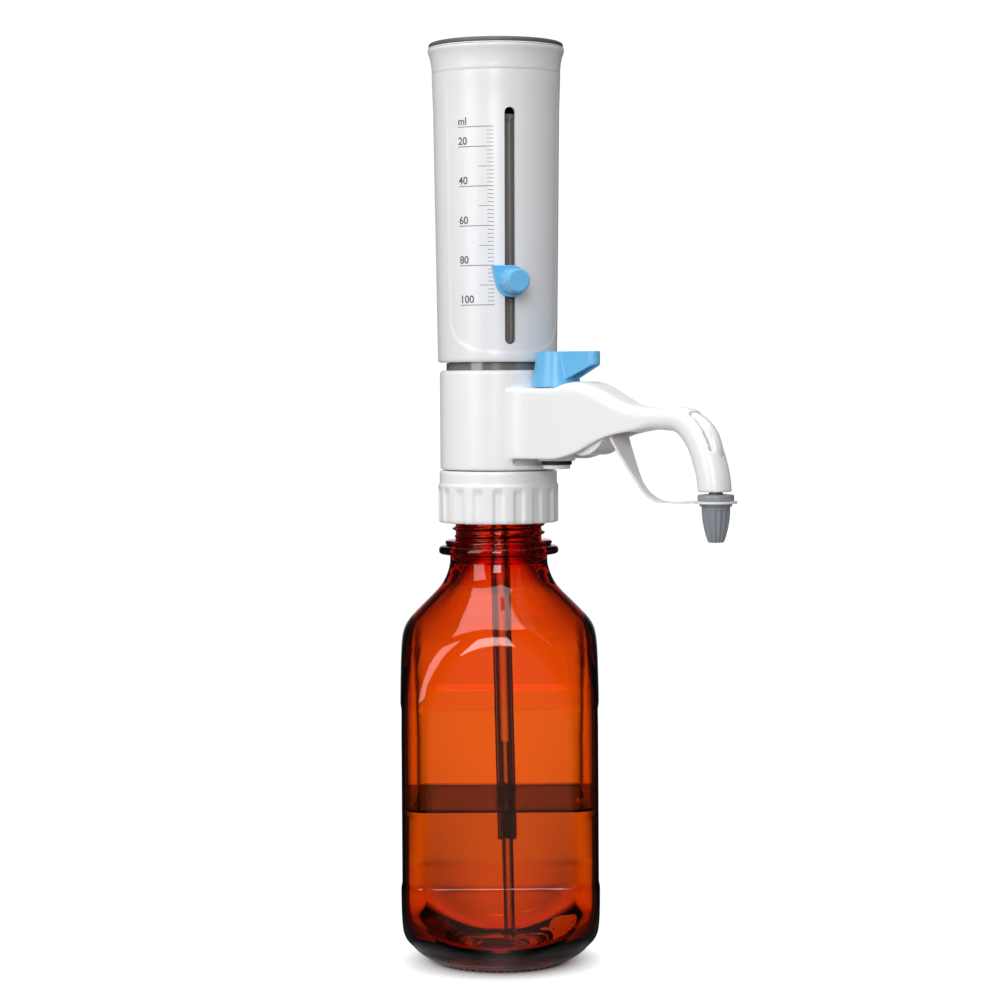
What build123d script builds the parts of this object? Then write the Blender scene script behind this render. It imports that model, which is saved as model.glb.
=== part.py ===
from build123d import *
from math import atan, cos, radians, sin, sqrt
import os

# Bottle-top dispenser on its bottle, in millimetres.
# The origin is on the axis at the bottle's foot, +Z is up, and -Y is the front.
# The discharge arm and the scale's slot face their own directions about the axis.
os.makedirs("parts", exist_ok=True)

# Directions, in degrees from +X about the axis
ARM_AZIMUTH = -45.0
SLOT_AZIMUTH = -77.6

# Clearances, and how far a cut reaches past what it cuts
RUNNING_FIT = 0.05
SLIDING_GAP = 0.1
SOFT_GAP = 0.3
CUT_MARGIN = 1.0
TOLERANCE = 0.01

# Bottle
MOUTH_HEIGHT = 222.0
BOTTLE_WIDTH = 92.0
BOTTLE_CORNER = 12.0
BOTTLE_WALL = 3.6
BOTTLE_FLOOR = 6.5
FOOT_RADIUS = 30.0
FOOT_RING_WIDTH = 4.0
PUSH_UP_HEIGHT = 3.0
PUSH_UP_TOP_RADIUS = 6.0
HEEL_ROUND = 11.0
HEEL_TURN = (42.4, 8.5)
HEEL_CORNER_HEIGHT = 27.0
SHOULDER_ROUND = 24.0
INNER_SHOULDER_ROUND = 10.0
PANEL_WIDTH = 75.0
PANEL_BOTTOM = 42.0
PANEL_REACH = 6.5
PANEL_DEPTH = 0.8
PANEL_CORNER = 4.0
DOME_DROP = 75.0
SHOULDER_TURN_RADIUS = 33.0
SHOULDER_TURN_DROP = 24.0
TURN_SHARE_OUT = 0.8
TURN_SHARE_DOWN = 0.6
NECK_RADIUS = 23.1
NECK_STEP = 3.0
FINISH_LENGTH = 29.0
FINISH_RADIUS = 20.3
FLANGE_RADIUS = 28.3
FLANGE_THICKNESS = 4.0
BEAD_RADIUS = 25.3
BEAD_THICKNESS = 2.4
RIM_SHARE = 0.42
MOUTH_RADIUS = 15.5
MOUTH_ROUND = 1.0

# Mouth seal, screw collar and the spigot that the collar holds
SEAL_THICKNESS = 2.0
SPIGOT_FLANGE_RADIUS = 21.5
SPIGOT_FLANGE_THICKNESS = 3.0
SPIGOT_RADIUS = 19.0
COLLAR_RADIUS = 28.3
COLLAR_BAND_RADIUS = 27.7
COLLAR_BORE = 22.5
COLLAR_SKIRT = 14.0
COLLAR_LID = 5.5
COLLAR_BAND_HEIGHT = 6.0
FLUTE_COUNT = 18
FLUTE_RADIUS = 5.0
FLUTE_DEPTH = 0.9
COLLAR_ROUND = 0.6

# Valve block and its cover, with heights above the block's base
COLLAR_GAP = 0.5
BLOCK_HEIGHT = 46.6
BLOCK_RADIUS = 27.3
BLOCK_ROUND = 1.2
COVER_WALL = 2.6
CORE_HEIGHT = 36.0
SUCTION_BODY_RADIUS = 8.0
SUCTION_BODY_HEIGHT = 12.0
SUCTION_ROOF = 4.0
CHANNEL_RADIUS = 2.0
CHANNEL_RISE = 15.0
BALL_RADIUS = 3.0
BALL_CHAMBER_GAP = 0.6
BARB_LENGTH = 11.0
BARB_BORE = 1.4

# Arm, in reaches from the axis along its own direction
ARM_TOP_RISE = 38.4
ARM_SKIRT_RISE = 5.4
ARM_WALL = 2.2
ARM_ROOT = 15.0
ARM_ROOT_HALF_WIDTH = 17.4
ARM_END = 100.0
CROWN_START = 47.0
SKIRT_LIP = 0.3
HOLLOW_END = 92.0
HOUSING_GAP = 0.2
HOUSING_HALF_WIDTH = 7.3
HOUSING_END = 75.0
HOUSING_END_DROP = 5.5
HOUSING_END_RISE = 17.0
HOUSING_TURN = (69.5, 10.2)
HOUSING_BELLY_RISE = 7.6
HOUSING_ROOT_RISE = 10.0

# Arm's outlines: the crown below its top, the skirt above its foot, and half widths
CROWN = [(54.0, 2.5), (61.0, 2.4), (73.0, -1.6), (86.8, -7.5), (ARM_END, -9.6)]
SKIRT = [(ARM_ROOT, 0.0), (46.0, 0.0), (60.0, 3.3), (74.0, 9.6), (88.0, 12.8), (ARM_END, 14.6)]
PLAN = [(ARM_ROOT, ARM_ROOT_HALF_WIDTH), (38.0, 15.8), (60.0, 12.2), (80.0, 9.2), (ARM_END, 7.5)]

# Discharge valve, tube and pipe, the pipe's sections as reach, rise from the tube, pitch, width and depth
DISCHARGE_REACH = 59.0
DISCHARGE_BODY_RADIUS = 5.6
DISCHARGE_BODY_HEIGHT = 18.0
DISCHARGE_FOOT = 3.0
DISCHARGE_SEAT_RISE = 3.0
DISCHARGE_ROOF = 2.0
DISCHARGE_PORT_RADIUS = 1.8
DISCHARGE_BALL_RADIUS = 2.6
OUTLET_REACH = 134.6
OUTLET_DROP = 31.85
PIPE_DIAMETER = 14.4
PIPE_CORNER_SHARE = 0.46
PIPE_SECTIONS = [
    (92.0, -0.05, 3.0, 15.6, 10.4),
    (101.0, 0.05, 2.0, 15.0, 8.8),
    (109.0, -0.35, 5.0, 14.6, 8.8),
    (116.0, -0.45, 20.0, PIPE_DIAMETER, 11.6),
    (122.2, -3.75, 42.0, PIPE_DIAMETER, 13.8),
    (127.8, -10.75, 60.0, PIPE_DIAMETER, 14.2),
    (131.6, -19.85, 75.0, PIPE_DIAMETER, PIPE_DIAMETER),
    (134.0, -OUTLET_DROP, 90.0, PIPE_DIAMETER, PIPE_DIAMETER),
]
TUBE_RISE = 24.35
TUBE_RADIUS = 3.4
TUBE_WALL = 0.8
TUBE_BEND = 16.0
TUBE_END_RISE = 5.5
WINDOW_MARGIN = 1.0
WINDOW_START = 78.0
WINDOW_END = 2.0
NOZZLE_RADIUS = 3.1
NOZZLE_LENGTH = 20.0
NOZZLE_BORE = 1.5
NOZZLE_CHAMFER = 0.4

# Turning valve
VALVE_REACH = 38.2
LEVER_BASE_RADIUS = 11.5
LEVER_TOP_RADIUS = 8.9
LEVER_HEIGHT = 16.5
LEVER_REACH = 26.5
LEVER_ROOT_HALF_WIDTH = 5.6
LEVER_TIP_HALF_WIDTH = 3.4
LEVER_TIP_DEPTH = 5.4
LEVER_WALL = 1.4
LEVER_HEEL = 1.5
SPINDLE_RADIUS = 5.0
SPINDLE_SOCKET = 8.0
SPINDLE_BOSS_RADIUS = 8.6
SPINDLE_BOSS_RISE = 4.6
SPINDLE_RING_RADIUS = 7.1
SPINDLE_RING_THICKNESS = 1.9
SPINDLE_CAP_RADIUS = 6.3
SPINDLE_CAP_THICKNESS = 1.9
SPINDLE_CAP_ROUND = 0.5

# Cylinder, piston and guard
CYLINDER_BORE = 18.7
CYLINDER_WALL = 1.8
CYLINDER_LENGTH = 124.0
GUARD_GAP = 0.5
GUARD_RADIUS = 23.2
GUARD_BASE_RADIUS = 24.2
GUARD_BASE_HEIGHT = 14.0
GUARD_RISE = 4.8
STOP_RADIUS = 24.3
STOP_THICKNESS = 2.5
PISTON_LIFT = 0.5
PISTON_GAP = 0.5
PISTON_LENGTH = 17.5
PISTON_CHAMFER = 1.0
SEAL_RING_HEIGHT = 4.0
SEAL_RING_DEPTH = 1.5
ROD_RADIUS = 6.0

# Scale sleeve and grip
SLEEVE_GAP = 3.7
SLEEVE_OVERHANG = 20.4
SLEEVE_BASE_RADIUS = 28.1
SLEEVE_TAPER = 0.0135
SLEEVE_FLARE_HEIGHT = 16.2
SLEEVE_TOP_RADIUS = 30.3
SLEEVE_WALL = 2.6
SLEEVE_ROUND = 1.2
SLOT_WIDTH = 5.1
SLOT_BOTTOM_MARGIN = 8.2
SLOT_TOP_MARGIN = 1.3
GRIP_HEIGHT = 12.3
GRIP_BASE_RADIUS = 30.1
GRIP_WAIST_RADIUS = 30.9
GRIP_WAIST_DROP = 6.0
GRIP_FLARE_RADIUS = 31.7
GRIP_FLARE_DROP = 3.6
GRIP_RADIUS = 32.1
GRIP_LIP = 1.6
GRIP_WALL = 3.4
GRIP_WEB_RISE = 2.8
GRIP_WEB_THICKNESS = 3.0
TOP_CAP_RADIUS = 31.7
TOP_CAP_THICKNESS = 2.5
TOP_CAP_SPIGOT = 3.0
TOP_CAP_SPIGOT_WALL = 2.0
TOP_CAP_ROUND = 1.1
ROD_SCREW_RADIUS = 2.5
ROD_SCREW_HEAD_RADIUS = 5.0
ROD_SCREW_HEAD = 2.5
ROD_SCREW_SOCKET = 2.4
ROD_SCREW_DEPTH = 12.0

# Pointer and knob, measured outwards from the sleeve
POINTER_RISE = 37.2
POINTER_RADIUS = 7.3
POINTER_TIP = 8.9
POINTER_THICKNESS = 3.0
POINTER_TIP_ROUND = 0.3
POINTER_ROUND = 0.2
KEY_LENGTH = 8.0
CLAMP_WIDTH = 10.0
CLAMP_HALF_HEIGHT = 1.7
CLAMP_LENGTH = 9.0
CLAMP_THICKNESS = 1.0
STUD_RADIUS = 2.0
KNOB_RADIUS = 6.2
KNOB_END_RADIUS = 5.2
KNOB_LENGTH = 14.5
KNOB_BASE_BAND = 1.5
KNOB_BORE_DEPTH = 10.0
KNOB_ROUND = 0.8
KNOB_FLUTES = 12
KNOB_FLUTE_RADIUS = 1.0
KNOB_FLUTE_OFFSET = 0.3

# Nozzle cap and strap
CAP_GAP = 1.2
CAP_LENGTH = 21.0
CAP_FLANGE_RADIUS = 8.0
CAP_FLANGE_THICKNESS = 2.7
CAP_MOUTH_RADIUS = 5.3
CAP_MOUTH_DEPTH = 1.6
CAP_RING_RADIUS = 7.2
CAP_RING_THICKNESS = 1.2
CAP_ROUND = 0.5
CAP_BODY_RADIUS = 6.1
CAP_TIP_RADIUS = 3.1
CAP_FLUTES = 12
CAP_FLUTE_RADIUS = 0.7
CAP_GROOVE_RADIUS = 6.0
STRAP_THICKNESS = 1.1
STRAP_RING_RADIUS = 9.3
STRAP_OVERLAP = 1.0
STRAP_TAB_WIDTH = 14.0
STRAP_WIDTH = 3.6
STRAP_WAIST_REACH = 90.0

# Strap's line: its root above the block's base, and its sweep from the outlet's height
STRAP_ROOT = [(75.8, 20.0), (78.5, 14.0)]
STRAP_SWEEP = [(84.3, 11.5), (89.3, 3.9), (94.5, -1.6), (100.7, -4.7), (109.0, -5.7)]

# Filling tubes
TUBE_LEAN = 1.15
FILL_OUTER_RADIUS = 4.5
FILL_INNER_RADIUS = 2.6
FILL_INNER_WALL = 0.9
FILL_OUTER_END = 59.5
FILL_INNER_END = 12.6
FILL_OVERLAP = 44.5

# Directions that follow from the angles above
UP = Vector(0, 0, 1)
ARM = Vector(cos(radians(ARM_AZIMUTH)), sin(radians(ARM_AZIMUTH)), 0)
SLOT = Vector(cos(radians(SLOT_AZIMUTH)), sin(radians(SLOT_AZIMUTH)), 0)
ARM_SIDE = Plane(origin=(0, 0, 0), x_dir=ARM, z_dir=ARM.cross(UP))
SLOT_AXIS = Axis((0, 0, 0), SLOT)

# Heights from the bottle up to the valve block
flange_base = MOUTH_HEIGHT - FINISH_LENGTH
dome_foot = flange_base - DOME_DROP
panel_top = dome_foot + PANEL_REACH
seal_top = MOUTH_HEIGHT + SEAL_THICKNESS
spigot_top = seal_top + SPIGOT_FLANGE_THICKNESS
collar_base = MOUTH_HEIGHT - COLLAR_SKIRT
collar_top = spigot_top + COLLAR_LID
block_base = collar_top + COLLAR_GAP
block_top = block_base + BLOCK_HEIGHT
core_top = block_base + CORE_HEIGHT
suction_body_top = block_base + SUCTION_BODY_HEIGHT
channel_height = block_base + CHANNEL_RISE

# Heights of the arm, its valves and its outlet
arm_top = block_base + ARM_TOP_RISE
arm_skirt = block_base + ARM_SKIRT_RISE
housing_top = arm_top - ARM_WALL - HOUSING_GAP
discharge_base = channel_height - DISCHARGE_FOOT
discharge_seat = channel_height + DISCHARGE_SEAT_RISE
discharge_top = discharge_base + DISCHARGE_BODY_HEIGHT
tube_height = block_base + TUBE_RISE
outlet_height = tube_height - OUTLET_DROP
tube_end = outlet_height + TUBE_END_RISE
cap_top = outlet_height - CAP_GAP
cap_bottom = cap_top - CAP_LENGTH
strap_height = cap_top - CAP_FLANGE_THICKNESS - STRAP_THICKNESS / 2 - SLIDING_GAP
lever_base = arm_top + SLIDING_GAP
lever_top = lever_base + LEVER_HEIGHT
boss_base = block_base + SPINDLE_BOSS_RISE
spindle_base = boss_base - SPINDLE_RING_THICKNESS

# Heights of the cylinder, the sleeve and the grip
cylinder_top = core_top + CYLINDER_LENGTH
guard_top = cylinder_top + GUARD_RISE
piston_base = core_top + PISTON_LIFT
piston_top = piston_base + PISTON_LENGTH
sleeve_base = block_top + SLEEVE_GAP
sleeve_top = guard_top + SLEEVE_OVERHANG
sleeve_flare_base = sleeve_top - SLEEVE_FLARE_HEIGHT
slot_bottom = sleeve_base + SLOT_BOTTOM_MARGIN
slot_top = sleeve_flare_base - SLOT_TOP_MARGIN
grip_top = sleeve_top + GRIP_HEIGHT
grip_web_base = sleeve_top + GRIP_WEB_RISE
pointer_height = sleeve_base + POINTER_RISE
fill_inner_top = FILL_OUTER_END + FILL_OVERLAP

# Radii that follow from those above
cover_bore = BLOCK_RADIUS - COVER_WALL
core_radius = cover_bore - SLIDING_GAP
cylinder_radius = CYLINDER_BORE + CYLINDER_WALL
piston_radius = CYLINDER_BORE - PISTON_GAP
sleeve_flare_radius = SLEEVE_BASE_RADIUS + SLEEVE_TAPER * (sleeve_flare_base - sleeve_base)
pointer_seat = SLEEVE_BASE_RADIUS + SLEEVE_TAPER * POINTER_RISE
fill_bore = FILL_INNER_RADIUS + RUNNING_FIT


def level(height, reach=0.0):
    """Level plane at a height, with its origin out along the arm."""
    return Plane(origin=ARM * reach + UP * height, x_dir=ARM, z_dir=UP)


def arm_section(reach, height, pitch):
    """Plane across the arm, facing along it and tipped down by the pitch."""
    heading = ARM * cos(radians(pitch)) - UP * sin(radians(pitch))
    return Plane(origin=ARM * reach + UP * height, x_dir=ARM.cross(UP), z_dir=heading)


def slot_face(height, out):
    """Plane that faces outwards along the slot's direction."""
    return Plane(origin=SLOT * out + UP * height, x_dir=UP.cross(SLOT), z_dir=SLOT)


def pointer_face(out):
    """Plane square to the tapered sleeve at the pointer, out from its surface."""
    tilt = atan(SLEEVE_TAPER)
    normal = SLOT * cos(tilt) - UP * sin(tilt)
    origin = SLOT * pointer_seat + UP * pointer_height + normal * out
    return Plane(origin=origin, x_dir=UP.cross(SLOT), z_dir=normal)


def sleeve_line(offset):
    """Corners of the sleeve's tapered wall from base to flare, moved out by an offset."""
    return [
        (SLEEVE_BASE_RADIUS + offset, sleeve_base),
        (sleeve_flare_radius + offset, sleeve_flare_base),
        (SLEEVE_TOP_RADIUS + offset, sleeve_top),
    ]


# Bottle
def is_upright(edge):
    """Whether an edge lies in one of the bottle's upright flat sides."""
    box = edge.bounding_box()
    return min(box.size.X, box.size.Y) < TOLERANCE


def bottle_form(inset, floor, shoulder_round):
    """Square body with a round heel and shoulder, its walls drawn in by an inset."""
    half = BOTTLE_WIDTH / 2 - inset
    corner = BOTTLE_CORNER - inset
    reach = (half - corner) * sqrt(2) + corner + CUT_MARGIN
    neck = NECK_RADIUS - inset
    turn_drop = SHOULDER_TURN_DROP + TURN_SHARE_DOWN * inset
    turn = (SHOULDER_TURN_RADIUS - TURN_SHARE_OUT * inset, flange_base - turn_drop)
    heel_top = (reach, HEEL_CORNER_HEIGHT + floor)
    with BuildPart() as form:
        with BuildSketch(Plane.XY.offset(floor)):
            RectangleRounded(2 * half, 2 * half, corner)
        extrude(amount=flange_base - floor)
        fillet(form.faces().sort_by(Axis.Z)[0].edges(), HEEL_ROUND - inset)
        with BuildSketch(Plane.XZ):
            with BuildLine():
                Line((0, flange_base), (neck, flange_base))
                throat = TangentArc((neck, flange_base), turn, tangent=(0, -1))
                dome = TangentArc(turn, (reach, dome_foot), tangent=throat % 1)
                Line(dome @ 1, heel_top)
                ThreePointArc(heel_top, (HEEL_TURN[0] - inset, HEEL_TURN[1] + floor), (FOOT_RADIUS - inset, floor))
                Line((FOOT_RADIUS - inset, floor), (0, floor))
                Line((0, floor), (0, flange_base))
            make_face()
        revolve(axis=Axis.Z, mode=Mode.INTERSECT)
        arches = form.edges().filter_by(GeomType.BSPLINE).filter_by_position(Axis.Z, dome_foot, flange_base)
        fillet(arches.filter_by(is_upright), shoulder_round)
    return form.part


bottle_outside = bottle_form(0, 0, SHOULDER_ROUND)
bottle_inside = bottle_form(BOTTLE_WALL, BOTTLE_FLOOR, INNER_SHOULDER_ROUND)

with BuildPart() as bottle:
    add(bottle_outside)
    with BuildSketch(Plane.XY.offset(flange_base)):
        Circle(FLANGE_RADIUS)
    extrude(amount=FLANGE_THICKNESS)
    rims = bottle.edges().filter_by(GeomType.CIRCLE).filter_by(lambda e: abs(e.radius - FLANGE_RADIUS) < TOLERANCE)
    fillet(rims, FLANGE_THICKNESS * RIM_SHARE)
    with BuildSketch(Plane.XY.offset(flange_base + FLANGE_THICKNESS)):
        Circle(BEAD_RADIUS)
    extrude(amount=BEAD_THICKNESS)
    rims = bottle.edges().filter_by(GeomType.CIRCLE).filter_by(lambda e: abs(e.radius - BEAD_RADIUS) < TOLERANCE)
    fillet(rims.sort_by(Axis.Z)[-1], BEAD_THICKNESS * RIM_SHARE)
    with BuildSketch(Plane.XY.offset(flange_base)):
        Circle(FINISH_RADIUS)
    extrude(amount=MOUTH_HEIGHT - flange_base)
    fillet(bottle.faces().sort_by(Axis.Z)[-1].edges(), MOUTH_ROUND)
    add(bottle_inside, mode=Mode.SUBTRACT)
    with BuildSketch(Plane.XY.offset(flange_base - NECK_STEP)):
        Circle(MOUTH_RADIUS)
    extrude(amount=MOUTH_HEIGHT - flange_base + NECK_STEP, mode=Mode.SUBTRACT)
    for side in range(4):
        panel = Plane.XZ.rotated((0, 0, 90 * side)).offset(BOTTLE_WIDTH / 2)
        with BuildSketch(panel):
            with Locations((0, (PANEL_BOTTOM + panel_top) / 2)):
                RectangleRounded(PANEL_WIDTH, panel_top - PANEL_BOTTOM, PANEL_CORNER)
        extrude(amount=-PANEL_DEPTH, mode=Mode.SUBTRACT)
    with Locations((0, 0, PUSH_UP_HEIGHT / 2)):
        Cone(FOOT_RADIUS - FOOT_RING_WIDTH, PUSH_UP_TOP_RADIUS, PUSH_UP_HEIGHT, mode=Mode.SUBTRACT)
bottle.part.label = "bottle"
export_step(bottle.part, "parts/bottle.step")

# Seal on the bottle's mouth
with BuildPart() as mouth_seal:
    with BuildSketch(Plane.XY.offset(MOUTH_HEIGHT)):
        Circle(FINISH_RADIUS)
        Circle(MOUTH_RADIUS, mode=Mode.SUBTRACT)
    extrude(amount=SEAL_THICKNESS)
mouth_seal.part.label = "mouth_seal"
export_step(mouth_seal.part, "parts/mouth_seal.step")

# Fluted collar that screws down over the neck and holds the spigot's flange
with BuildPart() as screw_collar:
    flute_height = collar_top - COLLAR_BAND_HEIGHT - collar_base
    with BuildSketch(Plane.XY.offset(collar_base)):
        Circle(COLLAR_RADIUS)
    extrude(amount=flute_height)
    chamfer(screw_collar.faces().sort_by(Axis.Z)[-1].edges(), COLLAR_RADIUS - COLLAR_BAND_RADIUS)
    fillet(screw_collar.faces().sort_by(Axis.Z)[0].edges(), COLLAR_ROUND)
    with BuildSketch(Plane.XY.offset(collar_base)):
        with PolarLocations(COLLAR_RADIUS + FLUTE_RADIUS - FLUTE_DEPTH, FLUTE_COUNT):
            Circle(FLUTE_RADIUS)
    extrude(amount=flute_height, mode=Mode.SUBTRACT)
    with BuildSketch(Plane.XY.offset(collar_base)):
        Circle(COLLAR_BAND_RADIUS - FLUTE_DEPTH / 2)
    extrude(amount=flute_height)
    with BuildSketch(Plane.XY.offset(collar_base + flute_height)):
        Circle(COLLAR_BAND_RADIUS)
    extrude(amount=COLLAR_BAND_HEIGHT)
    fillet(screw_collar.faces().sort_by(Axis.Z)[-1].edges(), COLLAR_ROUND)
    with BuildSketch(Plane.XY.offset(collar_base)):
        Circle(COLLAR_BORE)
    extrude(amount=spigot_top + SLIDING_GAP - collar_base, mode=Mode.SUBTRACT)
    with BuildSketch(Plane.XY.offset(collar_base)):
        Circle(SPIGOT_RADIUS + RUNNING_FIT)
    extrude(amount=collar_top - collar_base, mode=Mode.SUBTRACT)
screw_collar.part.label = "screw_collar"
export_step(screw_collar.part, "parts/screw_collar.step")

# Valve block: spigot, round core and the housing that runs out inside the arm
with BuildPart() as valve_block:
    with BuildSketch(Plane.XY.offset(seal_top)):
        Circle(SPIGOT_FLANGE_RADIUS)
    extrude(amount=SPIGOT_FLANGE_THICKNESS)
    with BuildSketch(Plane.XY.offset(spigot_top)):
        Circle(SPIGOT_RADIUS)
    extrude(amount=block_base - spigot_top)
    with BuildSketch(Plane.XY.offset(block_base)):
        Circle(core_radius)
    extrude(amount=core_top - block_base)
    with BuildSketch(ARM_SIDE):
        with BuildLine():
            end_top = (HOUSING_END, housing_top - HOUSING_END_DROP)
            end_base = (HOUSING_END, block_base + HOUSING_END_RISE)
            belly_turn = (HOUSING_TURN[0], block_base + HOUSING_TURN[1])
            belly = (DISCHARGE_REACH, block_base + HOUSING_BELLY_RISE)
            root_base = block_base + HOUSING_ROOT_RISE
            Polyline((0, housing_top), (VALVE_REACH, housing_top), end_top, end_base)
            ThreePointArc(end_base, belly_turn, belly)
            Polyline(belly, (VALVE_REACH, root_base), (0, root_base), (0, housing_top))
        make_face()
    extrude(amount=HOUSING_HALF_WIDTH, both=True)
    with BuildSketch(level(boss_base, VALVE_REACH)):
        Circle(SPINDLE_BOSS_RADIUS)
    extrude(amount=housing_top - boss_base)
    with BuildSketch(level(boss_base, VALVE_REACH)):
        Circle(SPINDLE_RADIUS + RUNNING_FIT)
    extrude(amount=core_top - boss_base, mode=Mode.SUBTRACT)
    with BuildSketch(Plane.XY.offset(seal_top)):
        Circle(SUCTION_BODY_RADIUS + RUNNING_FIT)
    extrude(amount=suction_body_top - seal_top, mode=Mode.SUBTRACT)
    with BuildSketch(Plane.XY.offset(seal_top)):
        Circle(CHANNEL_RADIUS)
    extrude(amount=core_top - seal_top, mode=Mode.SUBTRACT)
    with BuildSketch(arm_section(0, channel_height, 0)):
        Circle(CHANNEL_RADIUS)
    extrude(amount=DISCHARGE_REACH, mode=Mode.SUBTRACT)
    with BuildSketch(level(discharge_base, DISCHARGE_REACH)):
        Circle(DISCHARGE_BODY_RADIUS + RUNNING_FIT)
    extrude(amount=core_top - discharge_base, mode=Mode.SUBTRACT)
    with BuildSketch(arm_section(DISCHARGE_REACH, tube_height, 0)):
        Circle(TUBE_RADIUS + RUNNING_FIT)
    extrude(amount=HOUSING_END - DISCHARGE_REACH, mode=Mode.SUBTRACT)
valve_block.part.label = "valve_block"
export_step(valve_block.part, "parts/valve_block.step")


# Cover of the block with the arm, a shell open below
def arm_body(inset, skirt_drop, end):
    """Arm between its side outline and its plan outline, drawn in by an inset."""
    start = (ARM_ROOT, arm_top - inset)
    shoulder = (CROWN_START, arm_top - inset)
    crown = [(reach, arm_top + rise - inset) for reach, rise in CROWN]
    skirt = [(reach, arm_skirt + rise - skirt_drop) for reach, rise in SKIRT]
    with BuildPart() as form:
        with BuildSketch(ARM_SIDE):
            with BuildLine():
                Line(start, shoulder)
                Spline(shoulder, *crown, tangents=((1, 0.2), (1, -0.1)))
                Line(crown[-1], skirt[-1])
                Spline(*skirt)
                Line(skirt[0], start)
            make_face()
        extrude(amount=ARM_ROOT_HALF_WIDTH + CUT_MARGIN, both=True)
        with BuildSketch(level(arm_skirt - skirt_drop - CUT_MARGIN)):
            with BuildLine() as plan:
                side = Spline(*[(reach, width - inset) for reach, width in PLAN])
                Line((ARM_ROOT, 0), side @ 0)
                Line(side @ 1, (ARM_END, 0))
                mirror(about=Plane.XZ)
            make_face()
        extrude(amount=block_top - arm_skirt + skirt_drop + CUT_MARGIN, mode=Mode.INTERSECT)
        if end < ARM_END:
            split(bisect_by=arm_section(end, arm_top, 0), keep=Keep.BOTTOM)
    return form.part


arm_outside = arm_body(0, 0, ARM_END)
arm_inside = arm_body(ARM_WALL, SKIRT_LIP, HOLLOW_END)

with BuildPart() as arm_pipe:
    for reach, rise, pitch, width, depth in PIPE_SECTIONS:
        with BuildSketch(arm_section(reach, tube_height + rise, pitch)):
            RectangleRounded(width, depth, PIPE_CORNER_SHARE * min(width, depth))
    loft()

with BuildLine(ARM_SIDE) as tube_line:
    FilletPolyline(
        (DISCHARGE_REACH + DISCHARGE_BODY_RADIUS, tube_height),
        (OUTLET_REACH, tube_height),
        (OUTLET_REACH, tube_end),
        radius=TUBE_BEND,
    )

with BuildPart() as tube_bore:
    with BuildSketch(arm_section(DISCHARGE_REACH + DISCHARGE_BODY_RADIUS, tube_height, 0)):
        Circle(TUBE_RADIUS + RUNNING_FIT)
    sweep(path=tube_line.line)
    with BuildSketch(level(tube_end, OUTLET_REACH)):
        Circle(TUBE_RADIUS + RUNNING_FIT)
    extrude(amount=-(TUBE_END_RISE + CUT_MARGIN))

with BuildPart() as window:
    with BuildLine(ARM_SIDE) as window_line:
        bend_centre = (OUTLET_REACH - TUBE_BEND, tube_height - TUBE_BEND)
        CenterArc(bend_centre, TUBE_BEND, WINDOW_START, WINDOW_END - WINDOW_START)
    with BuildSketch(Plane(origin=window_line.line @ 0, z_dir=window_line.line % 0)):
        Circle(TUBE_RADIUS + WINDOW_MARGIN)
    sweep(path=window_line.line)

with BuildPart() as block_cover:
    with BuildSketch(Plane.XY.offset(block_base)):
        Circle(BLOCK_RADIUS)
    extrude(amount=block_top - block_base)
    fillet(block_cover.faces().sort_by(Axis.Z)[-1].edges(), BLOCK_ROUND)
    add(arm_outside)
    add(arm_pipe.part)
    with BuildSketch(Plane.XY.offset(block_base)):
        Circle(cover_bore)
    extrude(amount=block_top - block_base, mode=Mode.SUBTRACT)
    add(arm_inside, mode=Mode.SUBTRACT)
    with BuildSketch(level(arm_skirt, VALVE_REACH)):
        Circle(SPINDLE_RADIUS + SOFT_GAP)
    extrude(amount=arm_top - arm_skirt, mode=Mode.SUBTRACT)
    with BuildSketch(level(arm_top, VALVE_REACH)):
        Circle(LEVER_BASE_RADIUS + SOFT_GAP)
    extrude(amount=block_top - arm_top, mode=Mode.SUBTRACT)
    add(tube_bore.part, mode=Mode.SUBTRACT)
    add(window.part, mode=Mode.SUBTRACT)
block_cover.part.label = "block_cover"
export_step(block_cover.part, "parts/block_cover.step")

# Suction valve under the cylinder, with the barb for the filling tube
with BuildPart() as suction_valve:
    with BuildSketch(Plane.XY.offset(seal_top)):
        Circle(SUCTION_BODY_RADIUS)
    extrude(amount=suction_body_top - seal_top)
    with BuildSketch(Plane.XY.offset(seal_top - BARB_LENGTH)):
        Circle(FILL_INNER_RADIUS)
    extrude(amount=BARB_LENGTH)
    with BuildSketch(Plane.XY.offset(seal_top - BARB_LENGTH)):
        Circle(BARB_BORE)
    extrude(amount=block_base - seal_top + BARB_LENGTH, mode=Mode.SUBTRACT)
    with BuildSketch(Plane.XY.offset(block_base)):
        Circle(BALL_RADIUS + BALL_CHAMBER_GAP)
    extrude(amount=SUCTION_BODY_HEIGHT - SUCTION_ROOF, mode=Mode.SUBTRACT)
    with BuildSketch(Plane.XY.offset(block_base)):
        Circle(CHANNEL_RADIUS)
    extrude(amount=suction_body_top - block_base, mode=Mode.SUBTRACT)
suction_valve.part.label = "suction_valve"
export_step(suction_valve.part, "parts/suction_valve.step")

with BuildPart() as suction_ball:
    with Locations((0, 0, block_base + sqrt(BALL_RADIUS**2 - BARB_BORE**2) + RUNNING_FIT)):
        Sphere(BALL_RADIUS)
suction_ball.part.label = "suction_ball"
export_step(suction_ball.part, "parts/suction_ball.step")

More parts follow.
